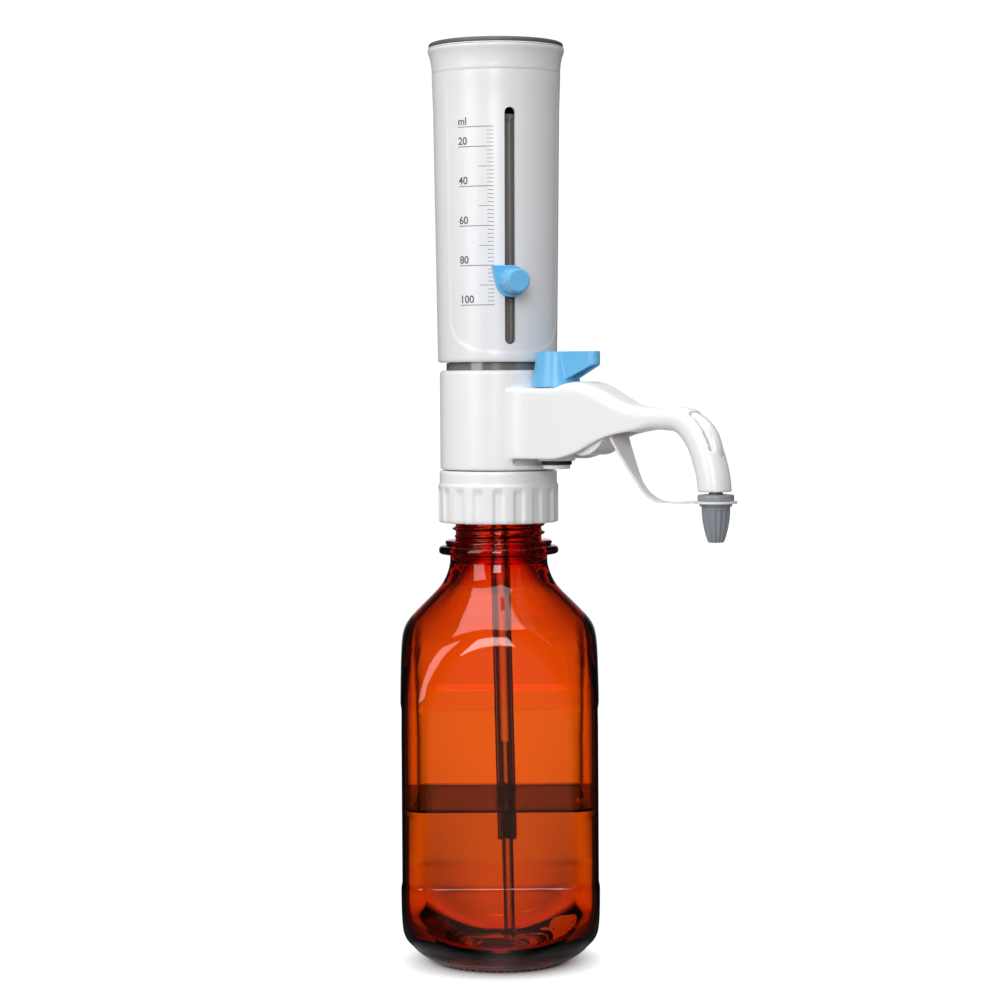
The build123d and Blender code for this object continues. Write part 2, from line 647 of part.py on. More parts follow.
# Discharge valve in the housing
with BuildPart() as discharge_valve:
    with BuildSketch(level(discharge_base, DISCHARGE_REACH)):
        Circle(DISCHARGE_BODY_RADIUS)
    extrude(amount=DISCHARGE_BODY_HEIGHT)
    with BuildSketch(level(discharge_seat, DISCHARGE_REACH)):
        Circle(DISCHARGE_BALL_RADIUS + BALL_CHAMBER_GAP)
    extrude(amount=discharge_top - DISCHARGE_ROOF - discharge_seat, mode=Mode.SUBTRACT)
    with BuildSketch(level(channel_height, DISCHARGE_REACH)):
        Circle(DISCHARGE_PORT_RADIUS)
    extrude(amount=discharge_seat - channel_height, mode=Mode.SUBTRACT)
    with BuildSketch(arm_section(DISCHARGE_REACH - DISCHARGE_BODY_RADIUS, channel_height, 0)):
        Circle(DISCHARGE_PORT_RADIUS)
    extrude(amount=DISCHARGE_BODY_RADIUS, mode=Mode.SUBTRACT)
    with BuildSketch(arm_section(DISCHARGE_REACH, tube_height, 0)):
        Circle(TUBE_RADIUS - TUBE_WALL)
    extrude(amount=DISCHARGE_BODY_RADIUS, mode=Mode.SUBTRACT)
discharge_valve.part.label = "discharge_valve"
export_step(discharge_valve.part, "parts/discharge_valve.step")

ball_rise = sqrt(DISCHARGE_BALL_RADIUS**2 - DISCHARGE_PORT_RADIUS**2) + RUNNING_FIT
with BuildPart() as discharge_ball:
    with BuildSketch(ARM_SIDE):
        with BuildLine():
            ball_arc = CenterArc((DISCHARGE_REACH, discharge_seat + ball_rise), DISCHARGE_BALL_RADIUS, -90, 180)
            Line(ball_arc @ 0, ball_arc @ 1)
        make_face()
    revolve(axis=Axis(ARM * DISCHARGE_REACH, UP))
discharge_ball.part.label = "discharge_ball"
export_step(discharge_ball.part, "parts/discharge_ball.step")

# Discharge tube and the nozzle tip at its end
with BuildPart() as discharge_tube:
    with BuildSketch(arm_section(DISCHARGE_REACH + DISCHARGE_BODY_RADIUS, tube_height, 0)):
        Circle(TUBE_RADIUS)
        Circle(TUBE_RADIUS - TUBE_WALL, mode=Mode.SUBTRACT)
    sweep(path=tube_line.line)
discharge_tube.part.label = "discharge_tube"
export_step(discharge_tube.part, "parts/discharge_tube.step")

with BuildPart() as nozzle_tip:
    with BuildSketch(level(tube_end, OUTLET_REACH)):
        Circle(NOZZLE_RADIUS)
        Circle(NOZZLE_BORE, mode=Mode.SUBTRACT)
    extrude(amount=-NOZZLE_LENGTH)
    chamfer(nozzle_tip.faces().sort_by(Axis.Z)[0].edges().sort_by(SortBy.RADIUS)[-1], NOZZLE_CHAMFER)
nozzle_tip.part.label = "nozzle_tip"
export_step(nozzle_tip.part, "parts/nozzle_tip.step")

# Turning valve: lever, spindle, sealing ring and cap
lever_tip = VALVE_REACH + LEVER_REACH - LEVER_TIP_HALF_WIDTH


def lever_blade(inset, top, bottom):
    """Blade of the lever in plan, from the hub to its round tip, drawn in by an inset."""
    with BuildPart() as blade:
        with BuildSketch(level(bottom)) as plan:
            with Locations((VALVE_REACH, 0)):
                Circle(LEVER_ROOT_HALF_WIDTH - inset)
            with Locations((lever_tip, 0)):
                Circle(LEVER_TIP_HALF_WIDTH - inset)
            make_hull()
        extrude(amount=top - bottom)
    return blade.part


blade_outside = lever_blade(0, lever_top, lever_base)
blade_inside = lever_blade(LEVER_WALL, lever_top - LEVER_WALL, lever_base)

with BuildPart() as valve_lever:
    add(blade_outside)
    add(blade_inside, mode=Mode.SUBTRACT)
    with BuildSketch(ARM_SIDE):
        Polygon(
            (VALVE_REACH + LEVER_HEEL, lever_base),
            (VALVE_REACH + LEVER_REACH + CUT_MARGIN, lever_top - LEVER_TIP_DEPTH),
            (VALVE_REACH + LEVER_REACH + CUT_MARGIN, lever_base - CUT_MARGIN),
            (VALVE_REACH + LEVER_HEEL, lever_base - CUT_MARGIN),
            align=None,
        )
    extrude(amount=LEVER_BASE_RADIUS, both=True, mode=Mode.SUBTRACT)
    with BuildSketch(level(lever_base, VALVE_REACH)):
        Circle(LEVER_BASE_RADIUS)
    with BuildSketch(level(lever_top, VALVE_REACH)):
        Circle(LEVER_TOP_RADIUS)
    loft()
    with BuildSketch(level(lever_base, VALVE_REACH)):
        Circle(SPINDLE_RADIUS)
    extrude(amount=SPINDLE_SOCKET, mode=Mode.SUBTRACT)
valve_lever.part.label = "valve_lever"
export_step(valve_lever.part, "parts/valve_lever.step")

with BuildPart() as valve_spindle:
    with BuildSketch(level(spindle_base, VALVE_REACH)):
        Circle(SPINDLE_RADIUS)
    extrude(amount=lever_base + SPINDLE_SOCKET - spindle_base)
    with BuildSketch(arm_section(VALVE_REACH - SPINDLE_RADIUS, channel_height, 0)):
        Circle(CHANNEL_RADIUS)
    extrude(amount=2 * SPINDLE_RADIUS, mode=Mode.SUBTRACT)
valve_spindle.part.label = "valve_spindle"
export_step(valve_spindle.part, "parts/valve_spindle.step")

with BuildPart() as spindle_ring:
    with BuildSketch(level(spindle_base, VALVE_REACH)):
        Circle(SPINDLE_RING_RADIUS)
        Circle(SPINDLE_RADIUS, mode=Mode.SUBTRACT)
    extrude(amount=SPINDLE_RING_THICKNESS - RUNNING_FIT)
spindle_ring.part.label = "spindle_ring"
export_step(spindle_ring.part, "parts/spindle_ring.step")

with BuildPart() as spindle_cap:
    with BuildSketch(level(spindle_base, VALVE_REACH)):
        Circle(SPINDLE_CAP_RADIUS)
    extrude(amount=-SPINDLE_CAP_THICKNESS)
    fillet(spindle_cap.faces().sort_by(Axis.Z)[0].edges(), SPINDLE_CAP_ROUND)
spindle_cap.part.label = "spindle_cap"
export_step(spindle_cap.part, "parts/spindle_cap.step")

# Glass cylinder and the dark guard round it
with BuildPart() as glass_cylinder:
    with BuildSketch(Plane.XY.offset(core_top)):
        Circle(cylinder_radius)
        Circle(CYLINDER_BORE, mode=Mode.SUBTRACT)
    extrude(amount=CYLINDER_LENGTH)
glass_cylinder.part.label = "glass_cylinder"
export_step(glass_cylinder.part, "parts/glass_cylinder.step")

with BuildPart() as cylinder_guard:
    with BuildSketch(Plane.XY.offset(core_top)):
        Circle(GUARD_BASE_RADIUS)
    extrude(amount=GUARD_BASE_HEIGHT)
    with BuildSketch(Plane.XY.offset(core_top + GUARD_BASE_HEIGHT)):
        Circle(GUARD_RADIUS)
    extrude(amount=guard_top - core_top - GUARD_BASE_HEIGHT)
    with BuildSketch(Plane.XY.offset(guard_top - STOP_THICKNESS)):
        Circle(STOP_RADIUS)
    extrude(amount=STOP_THICKNESS)
    with BuildSketch(Plane.XY.offset(core_top)):
        Circle(cylinder_radius + GUARD_GAP)
    extrude(amount=guard_top - core_top, mode=Mode.SUBTRACT)
cylinder_guard.part.label = "cylinder_guard"
export_step(cylinder_guard.part, "parts/cylinder_guard.step")

# Piston, its seal, the rod and the rod's screw
with BuildPart() as piston:
    with BuildSketch(Plane.XY.offset(piston_base)):
        Circle(piston_radius)
    extrude(amount=PISTON_LENGTH)
    with BuildSketch(Plane.XY.offset(piston_base + SEAL_RING_HEIGHT)):
        Circle(piston_radius)
        Circle(piston_radius - SEAL_RING_DEPTH, mode=Mode.SUBTRACT)
    extrude(amount=SEAL_RING_HEIGHT, mode=Mode.SUBTRACT)
    chamfer(piston.faces().sort_by(Axis.Z)[-1].edges(), PISTON_CHAMFER)
piston.part.label = "piston"
export_step(piston.part, "parts/piston.step")

with BuildPart() as piston_seal:
    with BuildSketch(Plane.XY.offset(piston_base + SEAL_RING_HEIGHT)):
        Circle(CYLINDER_BORE - RUNNING_FIT)
        Circle(piston_radius - SEAL_RING_DEPTH, mode=Mode.SUBTRACT)
    extrude(amount=SEAL_RING_HEIGHT)
piston_seal.part.label = "piston_seal"
export_step(piston_seal.part, "parts/piston_seal.step")

with BuildPart() as piston_rod:
    with BuildSketch(Plane.XY.offset(piston_top)):
        Circle(ROD_RADIUS)
    extrude(amount=grip_web_base - piston_top)
    with BuildSketch(Plane.XY.offset(grip_web_base)):
        Circle(ROD_SCREW_RADIUS)
    extrude(amount=-ROD_SCREW_DEPTH, mode=Mode.SUBTRACT)
piston_rod.part.label = "piston_rod"
export_step(piston_rod.part, "parts/piston_rod.step")

with BuildPart() as rod_screw:
    with BuildSketch(Plane.XY.offset(grip_web_base - ROD_SCREW_DEPTH)):
        Circle(ROD_SCREW_RADIUS - RUNNING_FIT)
    extrude(amount=ROD_SCREW_DEPTH + GRIP_WEB_THICKNESS)
    with BuildSketch(Plane.XY.offset(grip_web_base + GRIP_WEB_THICKNESS)):
        Circle(ROD_SCREW_HEAD_RADIUS)
    extrude(amount=ROD_SCREW_HEAD)
    with BuildSketch(Plane.XY.offset(grip_web_base + GRIP_WEB_THICKNESS + ROD_SCREW_HEAD)):
        RegularPolygon(ROD_SCREW_SOCKET, 6)
    extrude(amount=-ROD_SCREW_HEAD / 2, mode=Mode.SUBTRACT)
rod_screw.part.label = "rod_screw"
export_step(rod_screw.part, "parts/rod_screw.step")

# Scale sleeve with its slot
with BuildPart() as scale_sleeve:
    with BuildSketch(Plane.XZ):
        Polygon(*sleeve_line(0), *reversed(sleeve_line(-SLEEVE_WALL)), align=None)
    revolve(axis=Axis.Z)
    base_rim = scale_sleeve.faces().sort_by(Axis.Z)[0].edges().sort_by(SortBy.RADIUS)[-1]
    fillet(base_rim, SLEEVE_ROUND)
    with BuildSketch(slot_face((slot_bottom + slot_top) / 2, CYLINDER_BORE)):
        SlotOverall(slot_top - slot_bottom, SLOT_WIDTH, rotation=90)
    extrude(amount=SLEEVE_TOP_RADIUS, mode=Mode.SUBTRACT)
scale_sleeve.part.label = "scale_sleeve"
export_step(scale_sleeve.part, "parts/scale_sleeve.step")

# Flared grip collar and the cap that closes it
with BuildPart() as grip_collar:
    grip_bore = GRIP_BASE_RADIUS - GRIP_WALL
    with BuildSketch(Plane.XZ):
        with BuildLine():
            Line((0, sleeve_top), (GRIP_BASE_RADIUS, sleeve_top))
            waist = Line((GRIP_BASE_RADIUS, sleeve_top), (GRIP_WAIST_RADIUS, grip_top - GRIP_WAIST_DROP))
            flare_turn = (GRIP_FLARE_RADIUS, grip_top - GRIP_FLARE_DROP)
            flare = ThreePointArc(waist @ 1, flare_turn, (GRIP_RADIUS, grip_top - GRIP_LIP))
            Line(flare @ 1, (GRIP_RADIUS, grip_top))
            Line((GRIP_RADIUS, grip_top), (0, grip_top))
            Line((0, grip_top), (0, sleeve_top))
        make_face()
    revolve(axis=Axis.Z)
    fillet(grip_collar.faces().sort_by(Axis.Z)[-1].edges(), GRIP_LIP / 2)
    with BuildSketch(Plane.XY.offset(sleeve_top)):
        Circle(grip_bore)
    extrude(amount=grip_web_base - sleeve_top, mode=Mode.SUBTRACT)
    with BuildSketch(Plane.XY.offset(grip_web_base + GRIP_WEB_THICKNESS)):
        Circle(grip_bore)
    extrude(amount=grip_top - grip_web_base - GRIP_WEB_THICKNESS, mode=Mode.SUBTRACT)
    with BuildSketch(Plane.XY.offset(grip_web_base)):
        Circle(ROD_SCREW_RADIUS)
    extrude(amount=GRIP_WEB_THICKNESS, mode=Mode.SUBTRACT)
grip_collar.part.label = "grip_collar"
export_step(grip_collar.part, "parts/grip_collar.step")

with BuildPart() as top_cap:
    with BuildSketch(Plane.XY.offset(grip_top)):
        Circle(TOP_CAP_RADIUS)
    extrude(amount=TOP_CAP_THICKNESS)
    fillet(top_cap.faces().sort_by(Axis.Z)[-1].edges(), TOP_CAP_ROUND)
    with BuildSketch(Plane.XY.offset(grip_top - TOP_CAP_SPIGOT)):
        Circle(grip_bore - RUNNING_FIT)
        Circle(grip_bore - TOP_CAP_SPIGOT_WALL, mode=Mode.SUBTRACT)
    extrude(amount=TOP_CAP_SPIGOT)
top_cap.part.label = "top_cap"
export_step(top_cap.part, "parts/top_cap.step")

# Pointer outside the slot, with its key in the slot
with BuildPart() as pointer_plate:
    with BuildSketch(pointer_face(-SLEEVE_WALL)):
        Circle(POINTER_RADIUS)
        with Locations((-POINTER_TIP + POINTER_TIP_ROUND, POINTER_RADIUS - POINTER_TIP_ROUND)):
            Circle(POINTER_TIP_ROUND)
        make_hull()
    extrude(amount=SLEEVE_WALL + SOFT_GAP + POINTER_THICKNESS)
    fillet(pointer_plate.faces().sort_by(SLOT_AXIS)[-1].edges(), POINTER_ROUND)
    with BuildSketch(Plane.XZ):
        Polygon((0, sleeve_base), *sleeve_line(SOFT_GAP), (0, sleeve_top), align=None)
    revolve(axis=Axis.Z, mode=Mode.SUBTRACT)
    with BuildSketch(pointer_face(-SLEEVE_WALL)):
        Rectangle(SLOT_WIDTH - 2 * SLIDING_GAP, KEY_LENGTH)
    extrude(amount=SLEEVE_WALL + SOFT_GAP + POINTER_THICKNESS / 2)
    with BuildSketch(pointer_face(-SLEEVE_WALL)):
        Circle(STUD_RADIUS + RUNNING_FIT)
    extrude(amount=SLEEVE_WALL + SOFT_GAP + POINTER_THICKNESS, mode=Mode.SUBTRACT)
pointer_plate.part.label = "pointer_plate"
export_step(pointer_plate.part, "parts/pointer_plate.step")

# Clamp bolt, a foot inside the sleeve with a stud out through the slot
foot_outside = -SLEEVE_WALL - SLIDING_GAP
with BuildPart() as clamp_bolt:
    with BuildSketch(pointer_face(foot_outside - 2 * CLAMP_THICKNESS)):
        with Locations((0, CLAMP_HALF_HEIGHT - CLAMP_LENGTH / 2)):
            Rectangle(CLAMP_WIDTH, CLAMP_LENGTH)
    extrude(amount=2 * CLAMP_THICKNESS)
    with BuildSketch(Plane.XZ):
        outer_line = sleeve_line(foot_outside)
        inner_line = sleeve_line(foot_outside - CLAMP_THICKNESS)
        Polygon(*outer_line, *reversed(inner_line), align=None)
    revolve(axis=Axis.Z, mode=Mode.INTERSECT)
    with BuildSketch(pointer_face(foot_outside - CLAMP_THICKNESS / 2)):
        Circle(STUD_RADIUS)
    extrude(amount=CLAMP_THICKNESS / 2 - foot_outside + SOFT_GAP + POINTER_THICKNESS + KNOB_BORE_DEPTH)
clamp_bolt.part.label = "clamp_bolt"
export_step(clamp_bolt.part, "parts/clamp_bolt.step")

# Volume knob, fluted and tapered
knob_out = SOFT_GAP + POINTER_THICKNESS + SLIDING_GAP
with BuildPart() as volume_knob:
    with BuildSketch(pointer_face(knob_out)):
        Circle(KNOB_RADIUS)
    with BuildSketch(pointer_face(knob_out + KNOB_LENGTH)):
        Circle(KNOB_END_RADIUS)
    loft()
    fillet(volume_knob.faces().sort_by(SLOT_AXIS)[-1].edges(), KNOB_ROUND)
    with BuildSketch(pointer_face(knob_out + KNOB_BASE_BAND)):
        with PolarLocations(KNOB_RADIUS + KNOB_FLUTE_OFFSET, KNOB_FLUTES):
            Circle(KNOB_FLUTE_RADIUS)
    extrude(amount=KNOB_LENGTH, mode=Mode.SUBTRACT)
    with BuildSketch(pointer_face(knob_out)):
        Circle(STUD_RADIUS + RUNNING_FIT)
    extrude(amount=KNOB_BORE_DEPTH + SLIDING_GAP, mode=Mode.SUBTRACT)
volume_knob.part.label = "volume_knob"
export_step(volume_knob.part, "parts/volume_knob.step")

# Nozzle cap
with BuildPart() as nozzle_cap:
    cone_top = strap_height - STRAP_THICKNESS / 2 - SLIDING_GAP - CAP_RING_THICKNESS
    with BuildSketch(level(cone_top, OUTLET_REACH)):
        Circle(CAP_BODY_RADIUS)
    with BuildSketch(level(cap_bottom, OUTLET_REACH)):
        Circle(CAP_TIP_RADIUS)
    loft()
    with BuildSketch(level(cap_bottom, OUTLET_REACH)):
        with PolarLocations(CAP_BODY_RADIUS, CAP_FLUTES):
            Circle(CAP_FLUTE_RADIUS)
    extrude(amount=cone_top - cap_bottom, mode=Mode.SUBTRACT)
    with BuildSketch(level(cone_top, OUTLET_REACH)):
        Circle(CAP_RING_RADIUS)
    extrude(amount=CAP_RING_THICKNESS)
    with BuildSketch(level(cone_top, OUTLET_REACH)):
        Circle(CAP_GROOVE_RADIUS)
    extrude(amount=cap_top - cone_top)
    with BuildSketch(level(cap_top - CAP_FLANGE_THICKNESS, OUTLET_REACH)):
        Circle(CAP_FLANGE_RADIUS)
    extrude(amount=CAP_FLANGE_THICKNESS)
    fillet(nozzle_cap.faces().sort_by(Axis.Z)[-1].edges(), CAP_ROUND)
    with BuildSketch(level(cap_top, OUTLET_REACH)):
        Circle(CAP_MOUTH_RADIUS)
    extrude(amount=-CAP_MOUTH_DEPTH, mode=Mode.SUBTRACT)
    with BuildSketch(level(cap_top, OUTLET_REACH)):
        Circle(NOZZLE_RADIUS + RUNNING_FIT)
    extrude(amount=-(cap_top - tube_end + NOZZLE_LENGTH + SOFT_GAP), mode=Mode.SUBTRACT)
nozzle_cap.part.label = "nozzle_cap"
export_step(nozzle_cap.part, "parts/nozzle_cap.step")

# Strap that ties the cap to the arm: a tapering band and a ring round the cap
with BuildPart() as cap_strap:
    with BuildSketch(ARM_SIDE):
        with BuildLine():
            root = [(reach, block_base + rise) for reach, rise in STRAP_ROOT]
            band = [(reach, outlet_height + rise) for reach, rise in STRAP_SWEEP]
            Spline(*root, *band, (OUTLET_REACH - STRAP_RING_RADIUS + STRAP_OVERLAP, strap_height))
        trace(line_width=STRAP_THICKNESS)
    extrude(amount=STRAP_TAB_WIDTH, both=True)
    with BuildSketch(level(strap_height - STRAP_THICKNESS)):
        with BuildLine():
            Polyline(
                (HOUSING_END, 0),
                (HOUSING_END, STRAP_TAB_WIDTH / 2),
                (STRAP_WAIST_REACH, STRAP_WIDTH / 2),
                (OUTLET_REACH, STRAP_WIDTH / 2),
                (OUTLET_REACH, 0),
            )
            mirror(about=Plane.XZ)
        make_face()
    extrude(amount=cap_top, mode=Mode.INTERSECT)
    with BuildSketch(level(strap_height - STRAP_THICKNESS / 2, OUTLET_REACH)):
        Circle(STRAP_RING_RADIUS)
    extrude(amount=STRAP_THICKNESS)
    with BuildSketch(level(strap_height - STRAP_THICKNESS, OUTLET_REACH)):
        Circle(CAP_GROOVE_RADIUS + SLIDING_GAP)
    extrude(amount=2 * STRAP_THICKNESS, mode=Mode.SUBTRACT)
cap_strap.part.label = "cap_strap"
export_step(cap_strap.part, "parts/cap_strap.step")

# Telescoping filling tubes, hanging from the suction valve and leaning a little
lean = radians(TUBE_LEAN)
fill_face = Plane(origin=(0, 0, seal_top), x_dir=(cos(lean), 0, sin(lean)), z_dir=(sin(lean), 0, -cos(lean)))
with BuildPart() as filling_tube_outer:
    with BuildSketch(fill_face.offset(SOFT_GAP)):
        Circle(FILL_OUTER_RADIUS)
        Circle(fill_bore, mode=Mode.SUBTRACT)
    extrude(amount=(seal_top - FILL_OUTER_END) / cos(lean) - SOFT_GAP)
filling_tube_outer.part.label = "filling_tube_outer"
export_step(filling_tube_outer.part, "parts/filling_tube_outer.step")

with BuildPart() as filling_tube_inner:
    with BuildSketch(fill_face.offset((seal_top - fill_inner_top) / cos(lean))):
        Circle(FILL_INNER_RADIUS)
        Circle(FILL_INNER_RADIUS - FILL_INNER_WALL, mode=Mode.SUBTRACT)
    extrude(amount=(fill_inner_top - FILL_INNER_END) / cos(lean))
filling_tube_inner.part.label = "filling_tube_inner"
export_step(filling_tube_inner.part, "parts/filling_tube_inner.step")
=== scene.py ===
import bpy
from math import atan, atan2, ceil, cos, degrees, hypot, pi, radians, sin, sqrt
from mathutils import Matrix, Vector


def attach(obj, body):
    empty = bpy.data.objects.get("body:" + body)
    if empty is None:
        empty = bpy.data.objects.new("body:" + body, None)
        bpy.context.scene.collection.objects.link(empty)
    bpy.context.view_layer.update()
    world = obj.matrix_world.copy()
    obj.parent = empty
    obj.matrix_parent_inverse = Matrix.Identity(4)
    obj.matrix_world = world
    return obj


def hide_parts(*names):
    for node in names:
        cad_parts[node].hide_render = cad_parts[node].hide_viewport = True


# Looks of the bottle-top dispenser. Sizes are in millimetres and angles in degrees
# unless said otherwise, and MM turns them into the scene's metres.
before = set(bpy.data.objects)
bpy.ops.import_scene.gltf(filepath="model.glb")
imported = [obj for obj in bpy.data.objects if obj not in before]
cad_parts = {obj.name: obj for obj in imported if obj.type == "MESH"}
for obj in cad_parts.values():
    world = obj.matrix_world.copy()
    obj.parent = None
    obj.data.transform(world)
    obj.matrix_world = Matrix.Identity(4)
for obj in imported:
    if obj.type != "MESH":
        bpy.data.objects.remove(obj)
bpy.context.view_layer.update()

MM = 0.001
MERGE_DISTANCE = 0.002

# Directions about the axis
FRONT = -90.0
ARM_AZIMUTH = -45.0
SLOT_AZIMUTH = -77.6

# Heights follow from the bottle's mouth and the base of the valve block on it
MOUTH = 222.0
BLOCK_BASE = MOUTH + 11.0


def from_mouth(points):
    """Points of a profile with their heights given from the bottle's mouth."""
    return [(radius, MOUTH + height) for radius, height in points]


# Bottle
BOTTLE_HALF = 46.0
BOTTLE_CORNER = 12.0
BOTTLE_WALL = 3.6
BOTTLE_STEPS = 152
FLAT_SHARE = 0.58
PANEL_BOTTOM = 42.0
PANEL_TOP = MOUTH - 97.5
PANEL_DEPTH = 0.55
PANEL_EDGE = 4.0
SHOULDER_BLEND = 5.0
FOOT_LINE = [(0.0, 3.0), (10.0, 2.8), (19.0, 1.9), (24.5, 1.0), (26.5, 0.75), (29.5, 0.75), (31.5, 1.0)]
HEEL_LINE = [(31.5, 1.0), (35.0, 2.5), (39.5, 5.5), (42.8, 8.8), (47.5, 13.2), (53.0, 19.6), (58.5, 28.5), (61.0, 40.0)]
DOME_LINE = from_mouth([
    (61.0, -111.7), (60.4, -104.7), (59.0, -95.7), (56.9, -86.7), (54.2, -78.2), (51.3, -71.5), (48.2, -66.3),
    (45.0, -62.2), (42.0, -58.9), (38.8, -55.5), (35.4, -52.1), (32.4, -49.15), (29.6, -46.3), (27.2, -43.5),
    (25.5, -40.6), (24.3, -37.8), (23.5, -35.2), (23.1, -33.0),
])
BODY_SPACING = 1.0
CURVE_SPACING = 1.4
NECK_LINE = from_mouth([
    (23.1, -33.0), (23.1, -29.8), (24.2, -29.1), (26.6, -29.0), (27.9, -28.5), (28.3, -27.3), (27.9, -25.8),
    (26.6, -25.0), (25.0, -24.8), (24.9, -24.3), (25.3, -23.7), (25.0, -22.9), (24.0, -22.4), (21.2, -22.1),
])
NECK_SPACING = 0.45
FINISH_RADIUS = 20.3
THREAD_CREST = 1.6
THREAD_PITCH = 4.0
THREAD_BASE = MOUTH - 21.0
THREAD_TOP = MOUTH - 4.0
THREAD_SPACING = 0.5
MOUTH_LINE = from_mouth([(20.3, -1.4), (19.9, -0.4), (19.0, 0.0), (16.5, 0.0), (15.7, -0.4), (15.5, -1.2)])
INNER_NECK_LINE = from_mouth([(15.5, -1.2), (15.5, -25.0), (16.2, -29.5), (17.4, -33.5), (18.5, -36.3), (19.9, -39.2)])
INNER_DOME_LINE = from_mouth([
    (19.9, -39.2), (21.8, -42.2), (24.2, -45.3), (27.0, -48.4), (30.0, -51.5), (33.1, -54.6), (36.4, -57.9),
    (39.5, -61.1), (42.5, -64.4), (45.6, -68.3), (48.5, -73.1), (51.3, -79.5), (54.0, -87.6), (56.1, -96.3),
    (57.5, -105.0), (58.0, -115.7),
])
INNER_HEEL_LINE = [(58.0, 43.0), (55.0, 30.5), (48.5, 20.5), (41.0, 13.6), (33.0, 9.0), (22.0, 7.0), (0.0, 7.6)]
KNURL_COUNT = 56
KNURL_RADIUS = 28.2

# Liquid, and the dark sheet on it: painted shade on the liquid's surface
LIQUID_LEVEL = 76.5
SHADE_FILM_RISE = 0.25
SHADE_FILM_THICKNESS = 0.4
LIQUID_GAP = 0.12
MENISCUS = 1.6

# Scale sleeve
SLEEVE_BASE = MOUTH + 61.3
SLEEVE_TOP = MOUTH + 196.2
SLEEVE_BASE_RADIUS = 28.1
SLEEVE_TAPER = 0.0135
SLEEVE_FLARE_BASE = MOUTH + 180.0
SLEEVE_TOP_RADIUS = 30.3
SLEEVE_WALL = 2.6
SLEEVE_STEPS = 288
SLEEVE_SPACING = 0.9
SLOT_BOTTOM = MOUTH + 69.5
SLOT_TOP = MOUTH + 178.7
SLOT_WIDTH = 5.1
SHIELD_DEPTH = 0.3
SHIELD_BOTTOM = MOUTH + 65.2
SHIELD_SIDE_HEIGHT = MOUTH + 85.0
SHIELD_HALF_ANGLE = 64.0
SHIELD_POWER = 2.6
SHIELD_EDGE = 1.1

# Grip, the white ring on its rim as a painted highlight, and the disc on top, with heights above the bottle's mouth
GRIP_STEPS = 192
GRIP_LINE = [
    (30.05, 196.75), (30.2, 197.3), (30.35, 199.4), (30.75, 202.2), (31.3, 204.6), (31.85, 206.1), (32.1, 207.0),
]
GRIP_EDGE = [(32.1, 207.6), (31.9, 207.95), (31.3, 208.05), (26.7, 208.05), (26.7, 202.0), (2.5, 202.0)]
GRIP_INSIDE = [(2.5, 199.0), (26.7, 199.0), (26.7, 196.5), (27.0, 196.35), (29.7, 196.35), (30.05, 196.75)]
# Thin white ring on the grip's top edge: a painted highlight
RIM_HIGHLIGHT_LINE = [(26.8, 208.1), (31.9, 208.1), (32.05, 208.3), (31.95, 208.55), (31.6, 208.7), (26.8, 208.7), (26.8, 208.1)]
DISC_LINE = [
    (0.0, 208.75), (31.1, 208.75), (31.55, 208.95), (31.7, 209.4), (31.6, 210.1), (31.25, 210.65), (30.6, 210.95),
    (29.6, 211.0), (29.2, 210.9), (0.0, 210.9),
]

# Scale print
LINE_RISE = 0.03
SCALE_LEFT = -37.1
SCALE_MID = -16.7
SCALE_SHORT = -8.6
SCALE_RIGHT = -2.6
SCALE_TOP = MOUTH + 169.8
SCALE_STEP = 0.9122
LINE_WEIGHT = 0.30
FINE_WEIGHT = 0.22
DIGIT_HEIGHT = 3.6
DIGIT_RISE = 1.0
DIGIT_SWELL = 0.07
INK_THICKNESS = 0.05

# Collar nut
COLLAR_RADIUS = 28.3
COLLAR_BASE = MOUTH - 14.0
COLLAR_TOP = MOUTH + 10.5
COLLAR_BAND = MOUTH + 4.5
COLLAR_BORE = 22.5
SPIGOT_BORE = 19.2
SPIGOT_SEAT = MOUTH + 5.1
FLUTE_COUNT = 18
FLUTE_DEPTH = 1.0
COLLAR_STEPS = 360

# Valve block's cover, with heights above the block's base
BLOCK_BORE = 24.7
BLOCK_TOP = 46.6
BLOCK_LINE = [
    (24.7, 0.0), (26.9, 0.0), (27.2, 0.12), (27.3, 0.4), (27.3, 45.4), (27.1, 46.05), (26.7, 46.45), (26.1, 46.6),
    (24.9, 46.6), (24.7, 46.4), (24.7, 0.0),
]
BLOCK_STEPS = 192
ARM_WALL = 2.2
ARM_HOLLOW_START = 18.0
ARM_HOLLOW_END = 92.0
SKIRT_OPENING = 3.0
VALVE_REACH = 38.2
VALVE_CLEARANCE = 11.8
ARM_TOP = 38.4
COVER_GRAIN = 0.6
COVER_ROUNDS = 5

